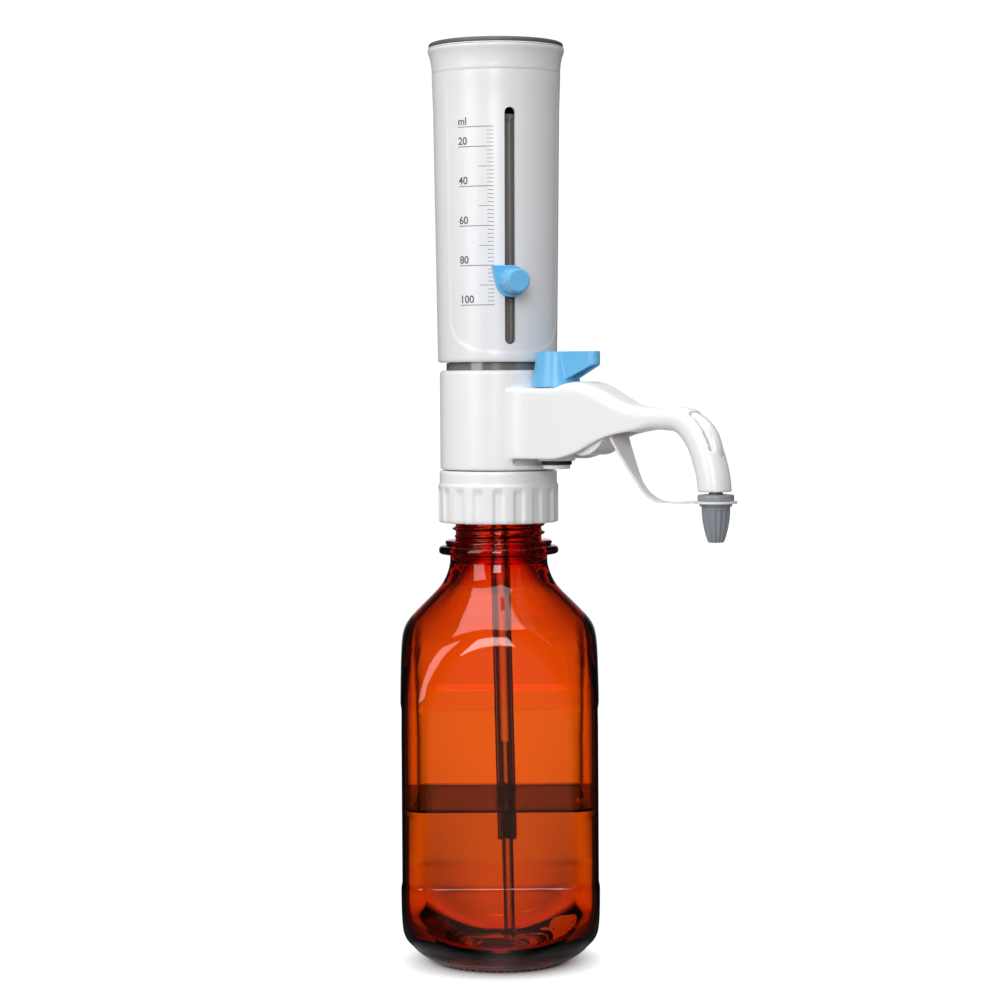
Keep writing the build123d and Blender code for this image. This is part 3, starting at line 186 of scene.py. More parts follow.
# Sections along the arm: reach, middle height, pitch, width, depth, and the rounds above and below
ARM_SECTIONS = [
    (20.2, 21.9, 0.0, 36.4, 33.0, 1.0, 0.3),
    (22.0, 21.9, 0.0, 32.7, 33.0, 1.2, 0.3),
    (24.5, 21.9, 0.0, 29.5, 33.0, 1.6, 0.3),
    (27.5, 21.9, 0.0, 27.4, 33.0, 2.0, 0.3),
    (31.0, 21.9, 0.0, 26.1, 33.0, 2.4, 0.3),
    (38.0, 21.9, 0.0, 25.4, 33.0, 2.6, 0.3),
    (46.0, 21.9, 0.0, 24.6, 33.0, 3.0, 0.3),
    (51.0, 23.05, 0.0, 23.8, 33.9, 3.8, 0.3),
    (56.0, 24.2, 0.0, 22.6, 33.6, 4.6, 0.3),
    (61.0, 24.95, 0.0, 21.3, 31.7, 5.0, 0.3),
    (67.0, 25.6, 0.0, 20.2, 27.2, 5.0, 0.3),
    (73.0, 25.7, 0.0, 19.0, 22.2, 5.0, 0.3),
    (80.0, 25.25, 0.0, 17.8, 16.9, 5.0, 0.3),
    (87.0, 24.5, 0.0, 16.6, 12.8, 4.8, 0.5),
    (94.0, 24.3, 0.0, 15.6, 10.6, 4.6, 1.5),
    (101.0, 24.35, 1.0, 15.0, 9.5, 4.4, 3.5),
    (109.0, 24.2, 5.0, 14.6, 9.9, 4.4, 4.4),
    (116.0, 23.9, 20.0, 14.4, 11.6, 5.3, 5.3),
    (122.2, 20.6, 42.0, 14.4, 13.8, 6.3, 6.3),
    (127.8, 13.6, 60.0, 14.4, 14.2, 6.5, 6.5),
    (131.6, 4.5, 75.0, 14.4, 14.4, 6.6, 6.6),
    (133.4, -2.0, 84.0, 14.4, 14.4, 6.6, 6.6),
    (134.0, -7.5, 90.0, 14.4, 14.4, 6.6, 6.6),
]
SECTION_SPACING = 1.6
CORNER_STEPS = 7

# Discharge tube inside the arm's bend, the window over it and the outlet
TUBE_HEIGHT = 24.35
TUBE_BEND = 16.0
OUTLET_REACH = 134.6
OUTLET_DROP = -7.5
OUTLET_BORE = 3.5
WINDOW_RADIUS = 4.3
WINDOW_OUT = 3.6
WINDOW_DEPTH = 15.8
WINDOW_TURN = (78, 2, -4)

# Nozzle cap, with heights from its top
CAP_TOP = MOUTH + 2.3
CAP_STEPS = 224
CAP_FLUTES = 14
CAP_FLUTE_DEPTH = 0.5
CAP_FLUTE_TOP = -5.9
CAP_LINE = [
    (0.0, -13.6), (3.2, -13.6), (3.2, -1.6), (5.3, -1.6), (5.3, -0.3), (5.6, 0.0), (7.5, 0.0), (7.85, -0.15),
    (8.0, -0.5), (8.0, -2.3), (7.85, -2.6), (7.5, -2.7), (6.0, -2.75), (6.0, -3.95), (6.9, -4.0), (7.15, -4.2),
    (7.2, -4.5), (7.15, -4.9), (6.9, -5.15), (6.3, -5.25), (6.25, -5.6),
]
CAP_BODY = [(6.25, -5.6), (6.2, -8.0), (5.95, -11.0), (5.45, -14.0), (4.75, -17.0), (4.05, -19.3), (3.55, -20.6)]
CAP_END = [(3.2, -20.95), (2.6, -21.0), (0.0, -20.8)]
CAP_SPACING = 0.4

# Skins taken from the frame's own solids: node, piece, body, finish, slot, grain and rounds of smoothing
SOFT_SKINS = [
    ("valve_lever", "lever_skin", "lever", "blue", "blue_plastic", 0.30, 4),
    ("pointer_plate", "pointer_skin", "pointer", "blue", "blue_plastic", 0.20, 3),
    ("volume_knob", "knob_skin", "knob", "blue", "blue_plastic", 0.20, 3),
]

# Light
BAND_POWER = 6.0
SIDE_WEIGHT = 0.03
FRONT_WEIGHT = 0.25
AROUND_LOW = 0.02
AROUND_HIGH = 0.85
AROUND_SOFT = 0.38
FLOOR_LOW = 0.02
FLOOR_HIGH = 0.95
FLOOR_SOFT = 0.38
FLOOR_NEAR = 0.030
FLOOR_FAR = 0.050
BACKDROP = 1.05

# Camera, in metres and degrees
CAMERA_DISTANCE = 1.290
CAMERA_HEIGHT = 0.2755
CAMERA_PITCH = 1.7
CAMERA_ROLL = 0.34
CAMERA_LENS = 98.36
CAMERA_SHIFT = (0.0023, -0.04)
SENSOR_WIDTH = 36.0


# Selecting and shaping
def only(piece):
    """Select one piece alone and make it active."""
    bpy.ops.object.select_all(action="DESELECT")
    piece.select_set(True)
    bpy.context.view_layer.objects.active = piece


def edit(piece):
    """Open one piece in edit mode with all of it selected."""
    only(piece)
    bpy.ops.object.mode_set(mode="EDIT")
    bpy.ops.mesh.select_all(action="SELECT")


def leave_edit():
    bpy.ops.object.mode_set(mode="OBJECT")


def at(azimuth, radius, height):
    """Point about the axis, in millimetres."""
    return Vector((radius * cos(radians(azimuth)), radius * sin(radians(azimuth)), height))


def reshape(piece, rule):
    """Move every vertex by a rule that takes and gives millimetres."""
    for vertex in piece.data.vertices:
        vertex.co = Vector(rule(vertex.co / MM)) * MM
    piece.data.update()


def smooth_step(low, high, value):
    share = min(max((value - low) / (high - low), 0.0), 1.0)
    return share * share * (3 - 2 * share)


def softer_min(a, b, blend):
    """The smaller of two values, rounded where they cross."""
    share = min(max(0.5 + 0.5 * (b - a) / blend, 0.0), 1.0)
    return b + (a - b) * share - blend * share * (1 - share)


def smooth_line(points, spacing):
    """Points about a spacing apart on a smooth curve through a few given ones."""
    line = [points[0]]
    for index in range(len(points) - 1):
        before = points[max(index - 1, 0)]
        start = points[index]
        end = points[index + 1]
        after = points[min(index + 2, len(points) - 1)]
        count = max(1, ceil(hypot(end[0] - start[0], end[1] - start[1]) / spacing))
        for step in range(1, count + 1):
            t = step / count
            weights = (
                -0.5 * t + t**2 - 0.5 * t**3,
                1 - 2.5 * t**2 + 1.5 * t**3,
                0.5 * t + 2 * t**2 - 1.5 * t**3,
                -0.5 * t**2 + 0.5 * t**3,
            )
            columns = zip(before, start, end, after)
            line.append(tuple(sum(w * value for w, value in zip(weights, column)) for column in columns))
    return line


def straight_line(start, end, spacing):
    """Evenly spaced points from start to end, both included."""
    count = max(1, ceil(hypot(end[0] - start[0], end[1] - start[1]) / spacing))
    return [
        (start[0] + (end[0] - start[0]) * step / count, start[1] + (end[1] - start[1]) * step / count)
        for step in range(count + 1)
    ]


def drawn_line(name, points):
    """Chain of edges in the XZ plane, drawn by extruding one vertex."""
    bpy.ops.object.select_all(action="DESELECT")
    bpy.ops.mesh.primitive_plane_add(size=MM)
    piece = bpy.context.object
    piece.name = name
    edit(piece)
    bpy.ops.mesh.merge(type="CENTER")
    bpy.ops.transform.translate(value=(points[0][0] * MM, 0, points[0][1] * MM))
    for last, point in zip(points, points[1:]):
        step = ((point[0] - last[0]) * MM, 0, (point[1] - last[1]) * MM)
        bpy.ops.mesh.extrude_region_move(TRANSFORM_OT_translate={"value": step})
    leave_edit()
    return piece


def turned(name, points, steps, centre=(0.0, 0.0)):
    """Piece spun about an upright axis from a line of radius and height."""
    piece = drawn_line(name, points)
    edit(piece)
    bpy.ops.mesh.spin(steps=steps, angle=2 * pi, center=(0, 0, 0), axis=(0, 0, 1))
    bpy.ops.mesh.select_all(action="SELECT")
    bpy.ops.mesh.remove_doubles(threshold=MERGE_DISTANCE * MM)
    bpy.ops.mesh.normals_make_consistent(inside=False)
    bpy.ops.transform.translate(value=(centre[0] * MM, centre[1] * MM, 0))
    leave_edit()
    return piece


def joined(pieces, name):
    """Several pieces as one."""
    bpy.ops.object.select_all(action="DESELECT")
    for piece in pieces:
        piece.select_set(True)
    bpy.context.view_layer.objects.active = pieces[0]
    bpy.ops.object.join()
    pieces[0].name = name
    return pieces[0]


def settle(piece, body, material, nodes=(), smooth=30.0):
    """Put a finished piece's place in its mesh, give it its finish and body, and hide the nodes it stands in for."""
    only(piece)
    bpy.ops.object.transform_apply(location=True, rotation=True, scale=True)
    if smooth:
        bpy.ops.object.shade_smooth_by_angle(angle=radians(smooth))
    piece.data.materials.clear()
    piece.data.materials.append(material)
    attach(piece, body)
    if nodes:
        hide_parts(*nodes)
    return piece


def cut(piece, tool, operation="DIFFERENCE"):
    """Cut one piece with another, which is used up."""
    only(piece)
    modifier = piece.modifiers.new("cut", "BOOLEAN")
    modifier.operation = operation
    modifier.solver = "EXACT"
    modifier.object = tool
    bpy.ops.object.modifier_apply(modifier=modifier.name)
    bpy.data.objects.remove(tool)


# Shader helpers
def add_node(tree, kind, values=(), **settings):
    """Node with some of its settings and sockets given."""
    node = tree.nodes.new(kind)
    for name, value in settings.items():
        setattr(node, name, value)
    for name, value in dict(values).items():
        node.inputs[name].default_value = value
    return node


def group_sockets(tree, inputs, outputs):
    for name, kind, default in inputs:
        socket = tree.interface.new_socket(name, in_out="INPUT", socket_type=kind)
        socket.default_value = default
    for name, kind in outputs:
        tree.interface.new_socket(name, in_out="OUTPUT", socket_type=kind)


def moulded_surface():
    """Group for moulded plastic: a fine grain, soft flow marks and an uneven gloss."""
    tree = bpy.data.node_groups.new("Moulded surface", "ShaderNodeTree")
    inputs = [
        ("Vector", "NodeSocketVector", (0, 0, 0)),
        ("Colour", "NodeSocketColor", (0.8, 0.8, 0.8, 1)),
        ("Deep Colour", "NodeSocketColor", (0.7, 0.7, 0.7, 1)),
        ("Gloss Low", "NodeSocketFloat", 0.25),
        ("Gloss High", "NodeSocketFloat", 0.4),
        ("Grain Scale", "NodeSocketFloat", 2500.0),
    ]
    group_sockets(tree, inputs, [("Colour", "NodeSocketColor"), ("Roughness", "NodeSocketFloat"), ("Height", "NodeSocketFloat")])
    entry = add_node(tree, "NodeGroupInput")
    leave = add_node(tree, "NodeGroupOutput")
    flow = add_node(tree, "ShaderNodeTexNoise", {"Scale": 38.0, "Detail": 3.0, "Distortion": 0.6})
    grain = add_node(tree, "ShaderNodeTexNoise", {"Detail": 2.0})
    blend = add_node(tree, "ShaderNodeMix", data_type="RGBA")
    gloss = add_node(tree, "ShaderNodeMapRange")
    height = add_node(tree, "ShaderNodeMath", {1: 0.35}, operation="MULTIPLY")
    total = add_node(tree, "ShaderNodeMath", operation="ADD")
    tree.links.new(entry.outputs["Vector"], flow.inputs["Vector"])
    tree.links.new(entry.outputs["Vector"], grain.inputs["Vector"])
    tree.links.new(entry.outputs["Grain Scale"], grain.inputs["Scale"])
    tree.links.new(flow.outputs["Fac"], blend.inputs["Factor"])
    tree.links.new(entry.outputs["Colour"], blend.inputs["A"])
    tree.links.new(entry.outputs["Deep Colour"], blend.inputs["B"])
    tree.links.new(blend.outputs["Result"], leave.inputs["Colour"])
    tree.links.new(flow.outputs["Fac"], gloss.inputs["Value"])
    tree.links.new(entry.outputs["Gloss Low"], gloss.inputs["To Min"])
    tree.links.new(entry.outputs["Gloss High"], gloss.inputs["To Max"])
    tree.links.new(gloss.outputs["Result"], leave.inputs["Roughness"])
    tree.links.new(flow.outputs["Fac"], height.inputs[0])
    tree.links.new(height.outputs[0], total.inputs[0])
    tree.links.new(grain.outputs["Fac"], total.inputs[1])
    tree.links.new(total.outputs[0], leave.inputs["Height"])
    return tree


surface_group = moulded_surface()


def new_material(name):
    material = bpy.data.materials.new(name)
    material.use_nodes = True
    tree = material.node_tree
    return material, tree, tree.nodes["Principled BSDF"]


def plastic(name, colour, deep, gloss=(0.28, 0.42), grain=2500.0, bump=0.05, coat=0.0, soft=0.0, sheer=0.0):
    """Moulded plastic from the shared surface group."""
    material, tree, shader = new_material(name)
    place = add_node(tree, "ShaderNodeTexCoord")
    surface = add_node(tree, "ShaderNodeGroup", node_tree=surface_group)
    surface.inputs["Colour"].default_value = (*colour, 1)
    surface.inputs["Deep Colour"].default_value = (*deep, 1)
    surface.inputs["Gloss Low"].default_value = gloss[0]
    surface.inputs["Gloss High"].default_value = gloss[1]
    surface.inputs["Grain Scale"].default_value = grain
    relief = add_node(tree, "ShaderNodeBump", {"Strength": bump, "Distance": 0.0002})
    tree.links.new(place.outputs["Object"], surface.inputs["Vector"])
    tree.links.new(surface.outputs["Colour"], shader.inputs["Base Color"])
    tree.links.new(surface.outputs["Roughness"], shader.inputs["Roughness"])
    tree.links.new(surface.outputs["Height"], relief.inputs["Height"])
    tree.links.new(relief.outputs["Normal"], shader.inputs["Normal"])
    shader.inputs["Coat Weight"].default_value = coat
    shader.inputs["Coat Roughness"].default_value = 0.12
    if soft:
        shader.inputs["Subsurface Weight"].default_value = soft
        shader.inputs["Subsurface Radius"].default_value = (0.6, 0.5, 0.5)
        shader.inputs["Subsurface Scale"].default_value = 0.0015
    if sheer:
        shader.inputs["Transmission Weight"].default_value = sheer
        shader.inputs["IOR"].default_value = 1.45
    return material


def amber_glass():
    """Brown bottle glass that darkens with the way through it, with faint mould waves."""
    material, tree, shader = new_material("amber_glass")
    place = add_node(tree, "ShaderNodeTexCoord")
    stretch = add_node(tree, "ShaderNodeMapping", {"Scale": (1.0, 1.0, 0.35)})
    waves = add_node(tree, "ShaderNodeTexNoise", {"Scale": 26.0, "Detail": 2.0, "Distortion": 0.8})
    seeds = add_node(tree, "ShaderNodeTexNoise", {"Scale": 240.0, "Detail": 1.0})
    gloss = add_node(tree, "ShaderNodeMapRange", {"To Min": 0.0, "To Max": 0.025})
    relief = add_node(tree, "ShaderNodeBump", {"Strength": 0.16, "Distance": 0.0012})
    depth = add_node(tree, "ShaderNodeVolumeAbsorption", {"Color": (0.991, 0.741, 0.037, 1), "Density": 1350.0})
    tree.links.new(place.outputs["Object"], stretch.inputs["Vector"])
    tree.links.new(stretch.outputs["Vector"], waves.inputs["Vector"])
    tree.links.new(place.outputs["Object"], seeds.inputs["Vector"])
    tree.links.new(seeds.outputs["Fac"], gloss.inputs["Value"])
    tree.links.new(gloss.outputs["Result"], shader.inputs["Roughness"])
    tree.links.new(waves.outputs["Fac"], relief.inputs["Height"])
    tree.links.new(relief.outputs["Normal"], shader.inputs["Normal"])
    shader.inputs["Base Color"].default_value = (1.0, 0.98, 0.95, 1)
    shader.inputs["Transmission Weight"].default_value = 1.0
    shader.inputs["IOR"].default_value = 1.5
    tree.links.new(depth.outputs["Volume"], tree.nodes["Material Output"].inputs["Volume"])
    return material


def clear_material(name, colour, ior, roughness, waves=0.0, bump=0.0):
    """Clear glass, tube or liquid with a slight unevenness."""
    material, tree, shader = new_material(name)
    place = add_node(tree, "ShaderNodeTexCoord")
    cloud = add_node(tree, "ShaderNodeTexNoise", {"Scale": waves or 60.0, "Detail": 2.0})
    gloss = add_node(tree, "ShaderNodeMapRange", {"To Min": roughness[0], "To Max": roughness[1]})
    relief = add_node(tree, "ShaderNodeBump", {"Strength": bump, "Distance": 0.0005})
    tree.links.new(place.outputs["Object"], cloud.inputs["Vector"])
    tree.links.new(cloud.outputs["Fac"], gloss.inputs["Value"])
    tree.links.new(cloud.outputs["Fac"], relief.inputs["Height"])
    tree.links.new(gloss.outputs["Result"], shader.inputs["Roughness"])
    tree.links.new(relief.outputs["Normal"], shader.inputs["Normal"])
    shader.inputs["Base Color"].default_value = (*colour, 1)
    shader.inputs["Transmission Weight"].default_value = 1.0
    shader.inputs["IOR"].default_value = ior
    return material


def steel():
    """Turned steel with fine rings."""
    material, tree, shader = new_material("turned_steel")
    place = add_node(tree, "ShaderNodeTexCoord")
    rings = add_node(tree, "ShaderNodeTexWave", {"Scale": 900.0, "Distortion": 1.5, "Detail": 2.0}, wave_type="RINGS")
    gloss = add_node(tree, "ShaderNodeMapRange", {"To Min": 0.22, "To Max": 0.4})
    tree.links.new(place.outputs["Object"], rings.inputs["Vector"])
    tree.links.new(rings.outputs["Fac"], gloss.inputs["Value"])
    tree.links.new(gloss.outputs["Result"], shader.inputs["Roughness"])
    shader.inputs["Base Color"].default_value = (0.62, 0.62, 0.63, 1)
    shader.inputs["Metallic"].default_value = 1.0
    return material


materials = {
    "amber": amber_glass(),
    "liquid": clear_material("liquid", (0.72, 0.66, 0.60), 1.333, (0.0, 0.0)),
    # Dark, nearly clear sheet on the liquid's top: painted shade on the liquid's surface
    "shade_film": clear_material("liquid_shade_film", (0.17, 0.16, 0.15), 1.03, (0.0, 0.0)),
    "clear_glass": clear_material("clear_glass", (0.95, 0.97, 0.97), 1.48, (0.0, 0.02)),
    "clear_tube": clear_material("clear_tube", (0.90, 0.91, 0.92), 1.40, (0.03, 0.10), 180.0, 0.05),
    "pearl": plastic("pearl_plastic", (0.80, 0.80, 0.82), (0.77, 0.77, 0.79), (0.30, 0.36), 3200.0, 0.08, 0.15),
    "white": plastic("white_plastic", (0.87, 0.865, 0.87), (0.85, 0.845, 0.85), (0.26, 0.34), 2600.0, 0.05, 0.1, 0.1),
    "blue": plastic("blue_plastic", (0.15, 0.50, 0.82), (0.13, 0.46, 0.79), (0.30, 0.40), 2800.0, 0.06, 0.1, 0.15),
    "grey": plastic("grey_plastic", (0.28, 0.30, 0.33), (0.25, 0.27, 0.30), (0.30, 0.45), 2400.0, 0.08, 0.1),
    "smoke": plastic("smoky_plastic", (0.23, 0.21, 0.20), (0.21, 0.19, 0.18), (0.12, 0.2), 2400.0, 0.02, 1.0),
    "milky": plastic("milky_tube", (0.84, 0.82, 0.81), (0.80, 0.78, 0.77), (0.14, 0.24), 1500.0, 0.04, 0.5, 0.4),
    "disc": plastic("disc_plastic", (0.12, 0.12, 0.125), (0.10, 0.10, 0.105), (0.38, 0.5), 2000.0, 0.10),
    "waxy": plastic("waxy_fluoropolymer", (0.84, 0.84, 0.82), (0.80, 0.80, 0.78), (0.35, 0.45), 1800.0, 0.05, 0.0, 0.3),
    "strap": plastic("strap_plastic", (0.80, 0.77, 0.77), (0.76, 0.73, 0.73), (0.30, 0.42), 2200.0, 0.05, 0.0, 0.35),
    "ceramic": plastic("ceramic", (0.86, 0.85, 0.82), (0.84, 0.83, 0.80), (0.05, 0.10), 1500.0, 0.01, 0.5),
    "rubber": plastic("black_rubber", (0.012, 0.012, 0.013), (0.02, 0.02, 0.02), (0.45, 0.6), 1500.0, 0.15),
    "ink": plastic("grey_ink", (0.085, 0.085, 0.09), (0.11, 0.11, 0.115), (0.5, 0.6), 4000.0, 0.02),
    "steel": steel(),
}

NODE_FINISH = {
    "mouth_seal": "waxy", "screw_collar": "white", "valve_block": "white", "block_cover": "white",
    "suction_valve": "waxy", "suction_ball": "ceramic", "discharge_valve": "waxy", "discharge_ball": "ceramic",
    "discharge_tube": "milky", "nozzle_tip": "grey", "valve_lever": "blue", "valve_spindle": "waxy",
    "spindle_ring": "rubber", "spindle_cap": "white", "glass_cylinder": "clear_glass", "cylinder_guard": "smoke",
    "piston": "waxy", "piston_seal": "waxy", "piston_rod": "waxy", "rod_screw": "steel", "scale_sleeve": "pearl",
    "grip_collar": "pearl", "top_cap": "disc", "pointer_plate": "blue", "clamp_bolt": "steel",
    "volume_knob": "blue", "nozzle_cap": "grey", "cap_strap": "strap", "filling_tube_outer": "clear_tube",
    "filling_tube_inner": "clear_tube", "bottle": "amber",
}


def dress_nodes():
    """Give each solid of the frame its material."""
    for name, finish in NODE_FINISH.items():
        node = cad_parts[name]
        node.data.materials.clear()
        node.data.materials.append(materials[finish])


# Bottle
def square_reach(angle, half, corner):
    """Distance from the axis to a rounded square's side, at an angle in radians."""
    turn = (angle + pi / 4) % (pi / 2) - pi / 4
    across = abs(turn)
    if half * sin(across) / cos(across) <= half - corner:
        return half / cos(across)
    knee = half - corner
    along = knee * (cos(across) + sin(across))
    return along + sqrt(along**2 - 2 * knee**2 + corner**2)


def square_angle(angle, half, corner):
    """Angle that spreads evenly spun steps over the flats and the corners."""
    side = (angle + pi / 4) // (pi / 2)
    share = ((angle + pi / 4) % (pi / 2)) / (pi / 2) - 0.5
    flat_end = FLAT_SHARE / 2
    knee = half - corner
    if abs(share) < flat_end:
        turn = atan(abs(share) / flat_end * knee / half)
    else:
        bend = (abs(share) - flat_end) / (0.5 - flat_end) * pi / 4
        turn = atan((knee + corner * sin(bend)) / (knee + corner * cos(bend)))
    return side * pi / 2 + (turn if share >= 0 else -turn)


def panel_sink(height):
    """Depth of the label panels at a height."""
    foot = smooth_step(PANEL_BOTTOM - PANEL_EDGE / 2, PANEL_BOTTOM + PANEL_EDGE / 2, height)
    head = smooth_step(PANEL_TOP - PANEL_EDGE / 2, PANEL_TOP + PANEL_EDGE / 2, height)
    return PANEL_DEPTH * foot * (1 - head)


def squared(half, corner, sunk):
    """Rule that draws a turned bottle wall in to its square body."""
    def rule(point):
        angle = square_angle(atan2(point.y, point.x), BOTTLE_HALF, BOTTLE_CORNER)
        radius = hypot(point.x, point.y)
        side = half - (panel_sink(point.z) if sunk else 0.0)
        reach = softer_min(radius, square_reach(angle, side, corner), SHOULDER_BLEND)
        return (reach * cos(angle), reach * sin(angle), point.z)
    return rule


def threaded(point):
    """Rule that raises the screw thread on the finish of the neck."""
    if not THREAD_BASE - THREAD_PITCH < point.z < THREAD_TOP + 1:
        return point
    turn = atan2(point.y, point.x) / (2 * pi)
    phase = ((point.z - THREAD_BASE) / THREAD_PITCH - turn) % 1.0
    ridge = smooth_step(0.22, 0.42, phase) * (1 - smooth_step(0.58, 0.78, phase))
    fade = smooth_step(THREAD_BASE - 1, THREAD_BASE + 2, point.z) * (1 - smooth_step(THREAD_TOP - 2, THREAD_TOP, point.z))
    radius = hypot(point.x, point.y)
    scale = (radius + THREAD_CREST * ridge * fade) / radius
    return (point.x * scale, point.y * scale, point.z)


def make_bottle():
    outer_line = smooth_line(FOOT_LINE, CURVE_SPACING)
    outer_line += smooth_line(HEEL_LINE, CURVE_SPACING)[1:]
    outer_line += straight_line(HEEL_LINE[-1], DOME_LINE[0], BODY_SPACING)[1:]
    outer_line += smooth_line(DOME_LINE, BODY_SPACING)[1:]
    outer = turned("outer_wall", outer_line, BOTTLE_STEPS)
    reshape(outer, squared(BOTTLE_HALF, BOTTLE_CORNER, True))
    neck_line = smooth_line(NECK_LINE, NECK_SPACING)
    neck_line += straight_line((FINISH_RADIUS, THREAD_BASE - 1), (FINISH_RADIUS, MOUTH_LINE[0][1]), THREAD_SPACING)
    neck_line += smooth_line(MOUTH_LINE, NECK_SPACING)[1:]
    neck = turned("neck", neck_line, BOTTLE_STEPS)
    reshape(neck, threaded)
    half = BOTTLE_HALF - BOTTLE_WALL
    corner = BOTTLE_CORNER - BOTTLE_WALL
    reshape(neck, squared(BOTTLE_HALF, BOTTLE_CORNER, False))
    inner_line = smooth_line(INNER_NECK_LINE, 2 * CURVE_SPACING)
    inner_line += smooth_line(INNER_DOME_LINE, CURVE_SPACING)[1:]
    inner_line += straight_line(INNER_DOME_LINE[-1], INNER_HEEL_LINE[0], 3 * BODY_SPACING)[1:]
    inner_line += smooth_line(INNER_HEEL_LINE, CURVE_SPACING)[1:]
    inner = turned("inner_wall", inner_line, BOTTLE_STEPS)
    reshape(inner, squared(half, corner, False))
    bottle = joined([outer, neck, inner], "bottle_glass")
    edit(bottle)
    bpy.ops.mesh.remove_doubles(threshold=0.05 * MM)
    bpy.ops.mesh.normals_make_consistent(inside=False)
    leave_edit()
    settle(bottle, "bottle", materials["amber"], ["bottle"], 60.0)


def make_knurl():
    """Ring of short glass bars under the heel."""
    bars = []
    for index in range(KNURL_COUNT):
        azimuth = 360.0 * index / KNURL_COUNT
        bpy.ops.object.select_all(action="DESELECT")
        bpy.ops.mesh.primitive_uv_sphere_add(segments=10, ring_count=6, radius=MM)
        bar = bpy.context.object
        bar.scale = (3.0, 0.95, 0.75)
        bar.rotation_euler = (0, 0, radians(azimuth))
        bar.location = at(azimuth, KNURL_RADIUS, 0.8) * MM
        bars.append(bar)
    knurl = joined(bars, "foot_knurl")
    settle(knurl, "bottle", materials["amber"], (), 60.0)


def make_liquid():
    """Clear liquid in the bottle, a hair inside its wall, with a raised edge at the glass."""
    half = BOTTLE_HALF - BOTTLE_WALL - LIQUID_GAP
    corner = BOTTLE_CORNER - BOTTLE_WALL - LIQUID_GAP
    bottom = [(radius, height + LIQUID_GAP) for radius, height in reversed(INNER_HEEL_LINE)]
    line = smooth_line(bottom, CURVE_SPACING)
    wall_top = (bottom[-1][0], LIQUID_LEVEL + MENISCUS)
    line += straight_line(bottom[-1], wall_top, 2 * BODY_SPACING)[1:]
    edge = bottom[-1][0]
    line += [(edge * 0.995, LIQUID_LEVEL + 0.8), (edge * 0.98, LIQUID_LEVEL + 0.3), (edge * 0.955, LIQUID_LEVEL)]
    line += straight_line(line[-1], (0.0, LIQUID_LEVEL), 3 * BODY_SPACING)[1:]
    liquid = turned("liquid", line, BOTTLE_STEPS)
    reach = bottom[-1][0]

    def rule(point):
        angle = square_angle(atan2(point.y, point.x), BOTTLE_HALF, BOTTLE_CORNER)
        radius = hypot(point.x, point.y)
        side = square_reach(angle, half, corner)
        if point.z > LIQUID_LEVEL - 1:
            distance = radius / reach * side
        else:
            distance = softer_min(radius, side, SHOULDER_BLEND)
        return (distance * cos(angle), distance * sin(angle), point.z)

    reshape(liquid, rule)
    settle(liquid, "bottle", materials["liquid"], (), 40.0)
    # Dark sheet a hair above the liquid: painted shade on its surface
    base = LIQUID_LEVEL + SHADE_FILM_RISE
    shade_film_line = straight_line((0.0, base), (edge, base), 6 * BODY_SPACING)
    shade_film_line += straight_line((edge, base + SHADE_FILM_THICKNESS), (0.0, base + SHADE_FILM_THICKNESS), 6 * BODY_SPACING)
    shade_film = turned("liquid_shade_film", shade_film_line, BOTTLE_STEPS)

    def spread(point):
        angle = square_angle(atan2(point.y, point.x), BOTTLE_HALF, BOTTLE_CORNER)
        distance = hypot(point.x, point.y) / edge * square_reach(angle, half, corner)
        return (distance * cos(angle), distance * sin(angle), point.z)

    reshape(shade_film, spread)
    settle(shade_film, "bottle", materials["shade_film"], (), 40.0)


# Scale sleeve
def sleeve_radius(height):
    """Outside radius of the sleeve at a height."""
    if height <= SLEEVE_FLARE_BASE:
        return SLEEVE_BASE_RADIUS + SLEEVE_TAPER * (height - SLEEVE_BASE)
    flare = SLEEVE_BASE_RADIUS + SLEEVE_TAPER * (SLEEVE_FLARE_BASE - SLEEVE_BASE)
    share = (height - SLEEVE_FLARE_BASE) / (SLEEVE_TOP - SLEEVE_FLARE_BASE)
    return flare + (SLEEVE_TOP_RADIUS - flare) * share


def shielded(point):
    """Rule that sinks the shield-shaped field round the slot a little into the sleeve."""
    radius = hypot(point.x, point.y)
    if radius < sleeve_radius(point.z) - SLEEVE_WALL / 2 or point.z > SLEEVE_TOP - 0.5:
        return point
    azimuth = degrees(atan2(point.y, point.x))
    away = abs((azimuth - SLOT_AZIMUTH + 180) % 360 - 180) / SHIELD_HALF_ANGLE
    rise = (SHIELD_SIDE_HEIGHT - SHIELD_BOTTOM) * (1 - (1 - min(away, 1.0) ** SHIELD_POWER) ** (1 / SHIELD_POWER))
    above = (point.z - SHIELD_BOTTOM - rise) / SHIELD_EDGE
    beside = (1 - away) * radians(SHIELD_HALF_ANGLE) * radius / SHIELD_EDGE
    sink = SHIELD_DEPTH * smooth_step(0, 1, min(above, beside))
    head = 1 - smooth_step(SLEEVE_FLARE_BASE + 4, SLEEVE_TOP - 2, point.z)
    scale = (radius - sink * head) / radius
    return (point.x * scale, point.y * scale, point.z)


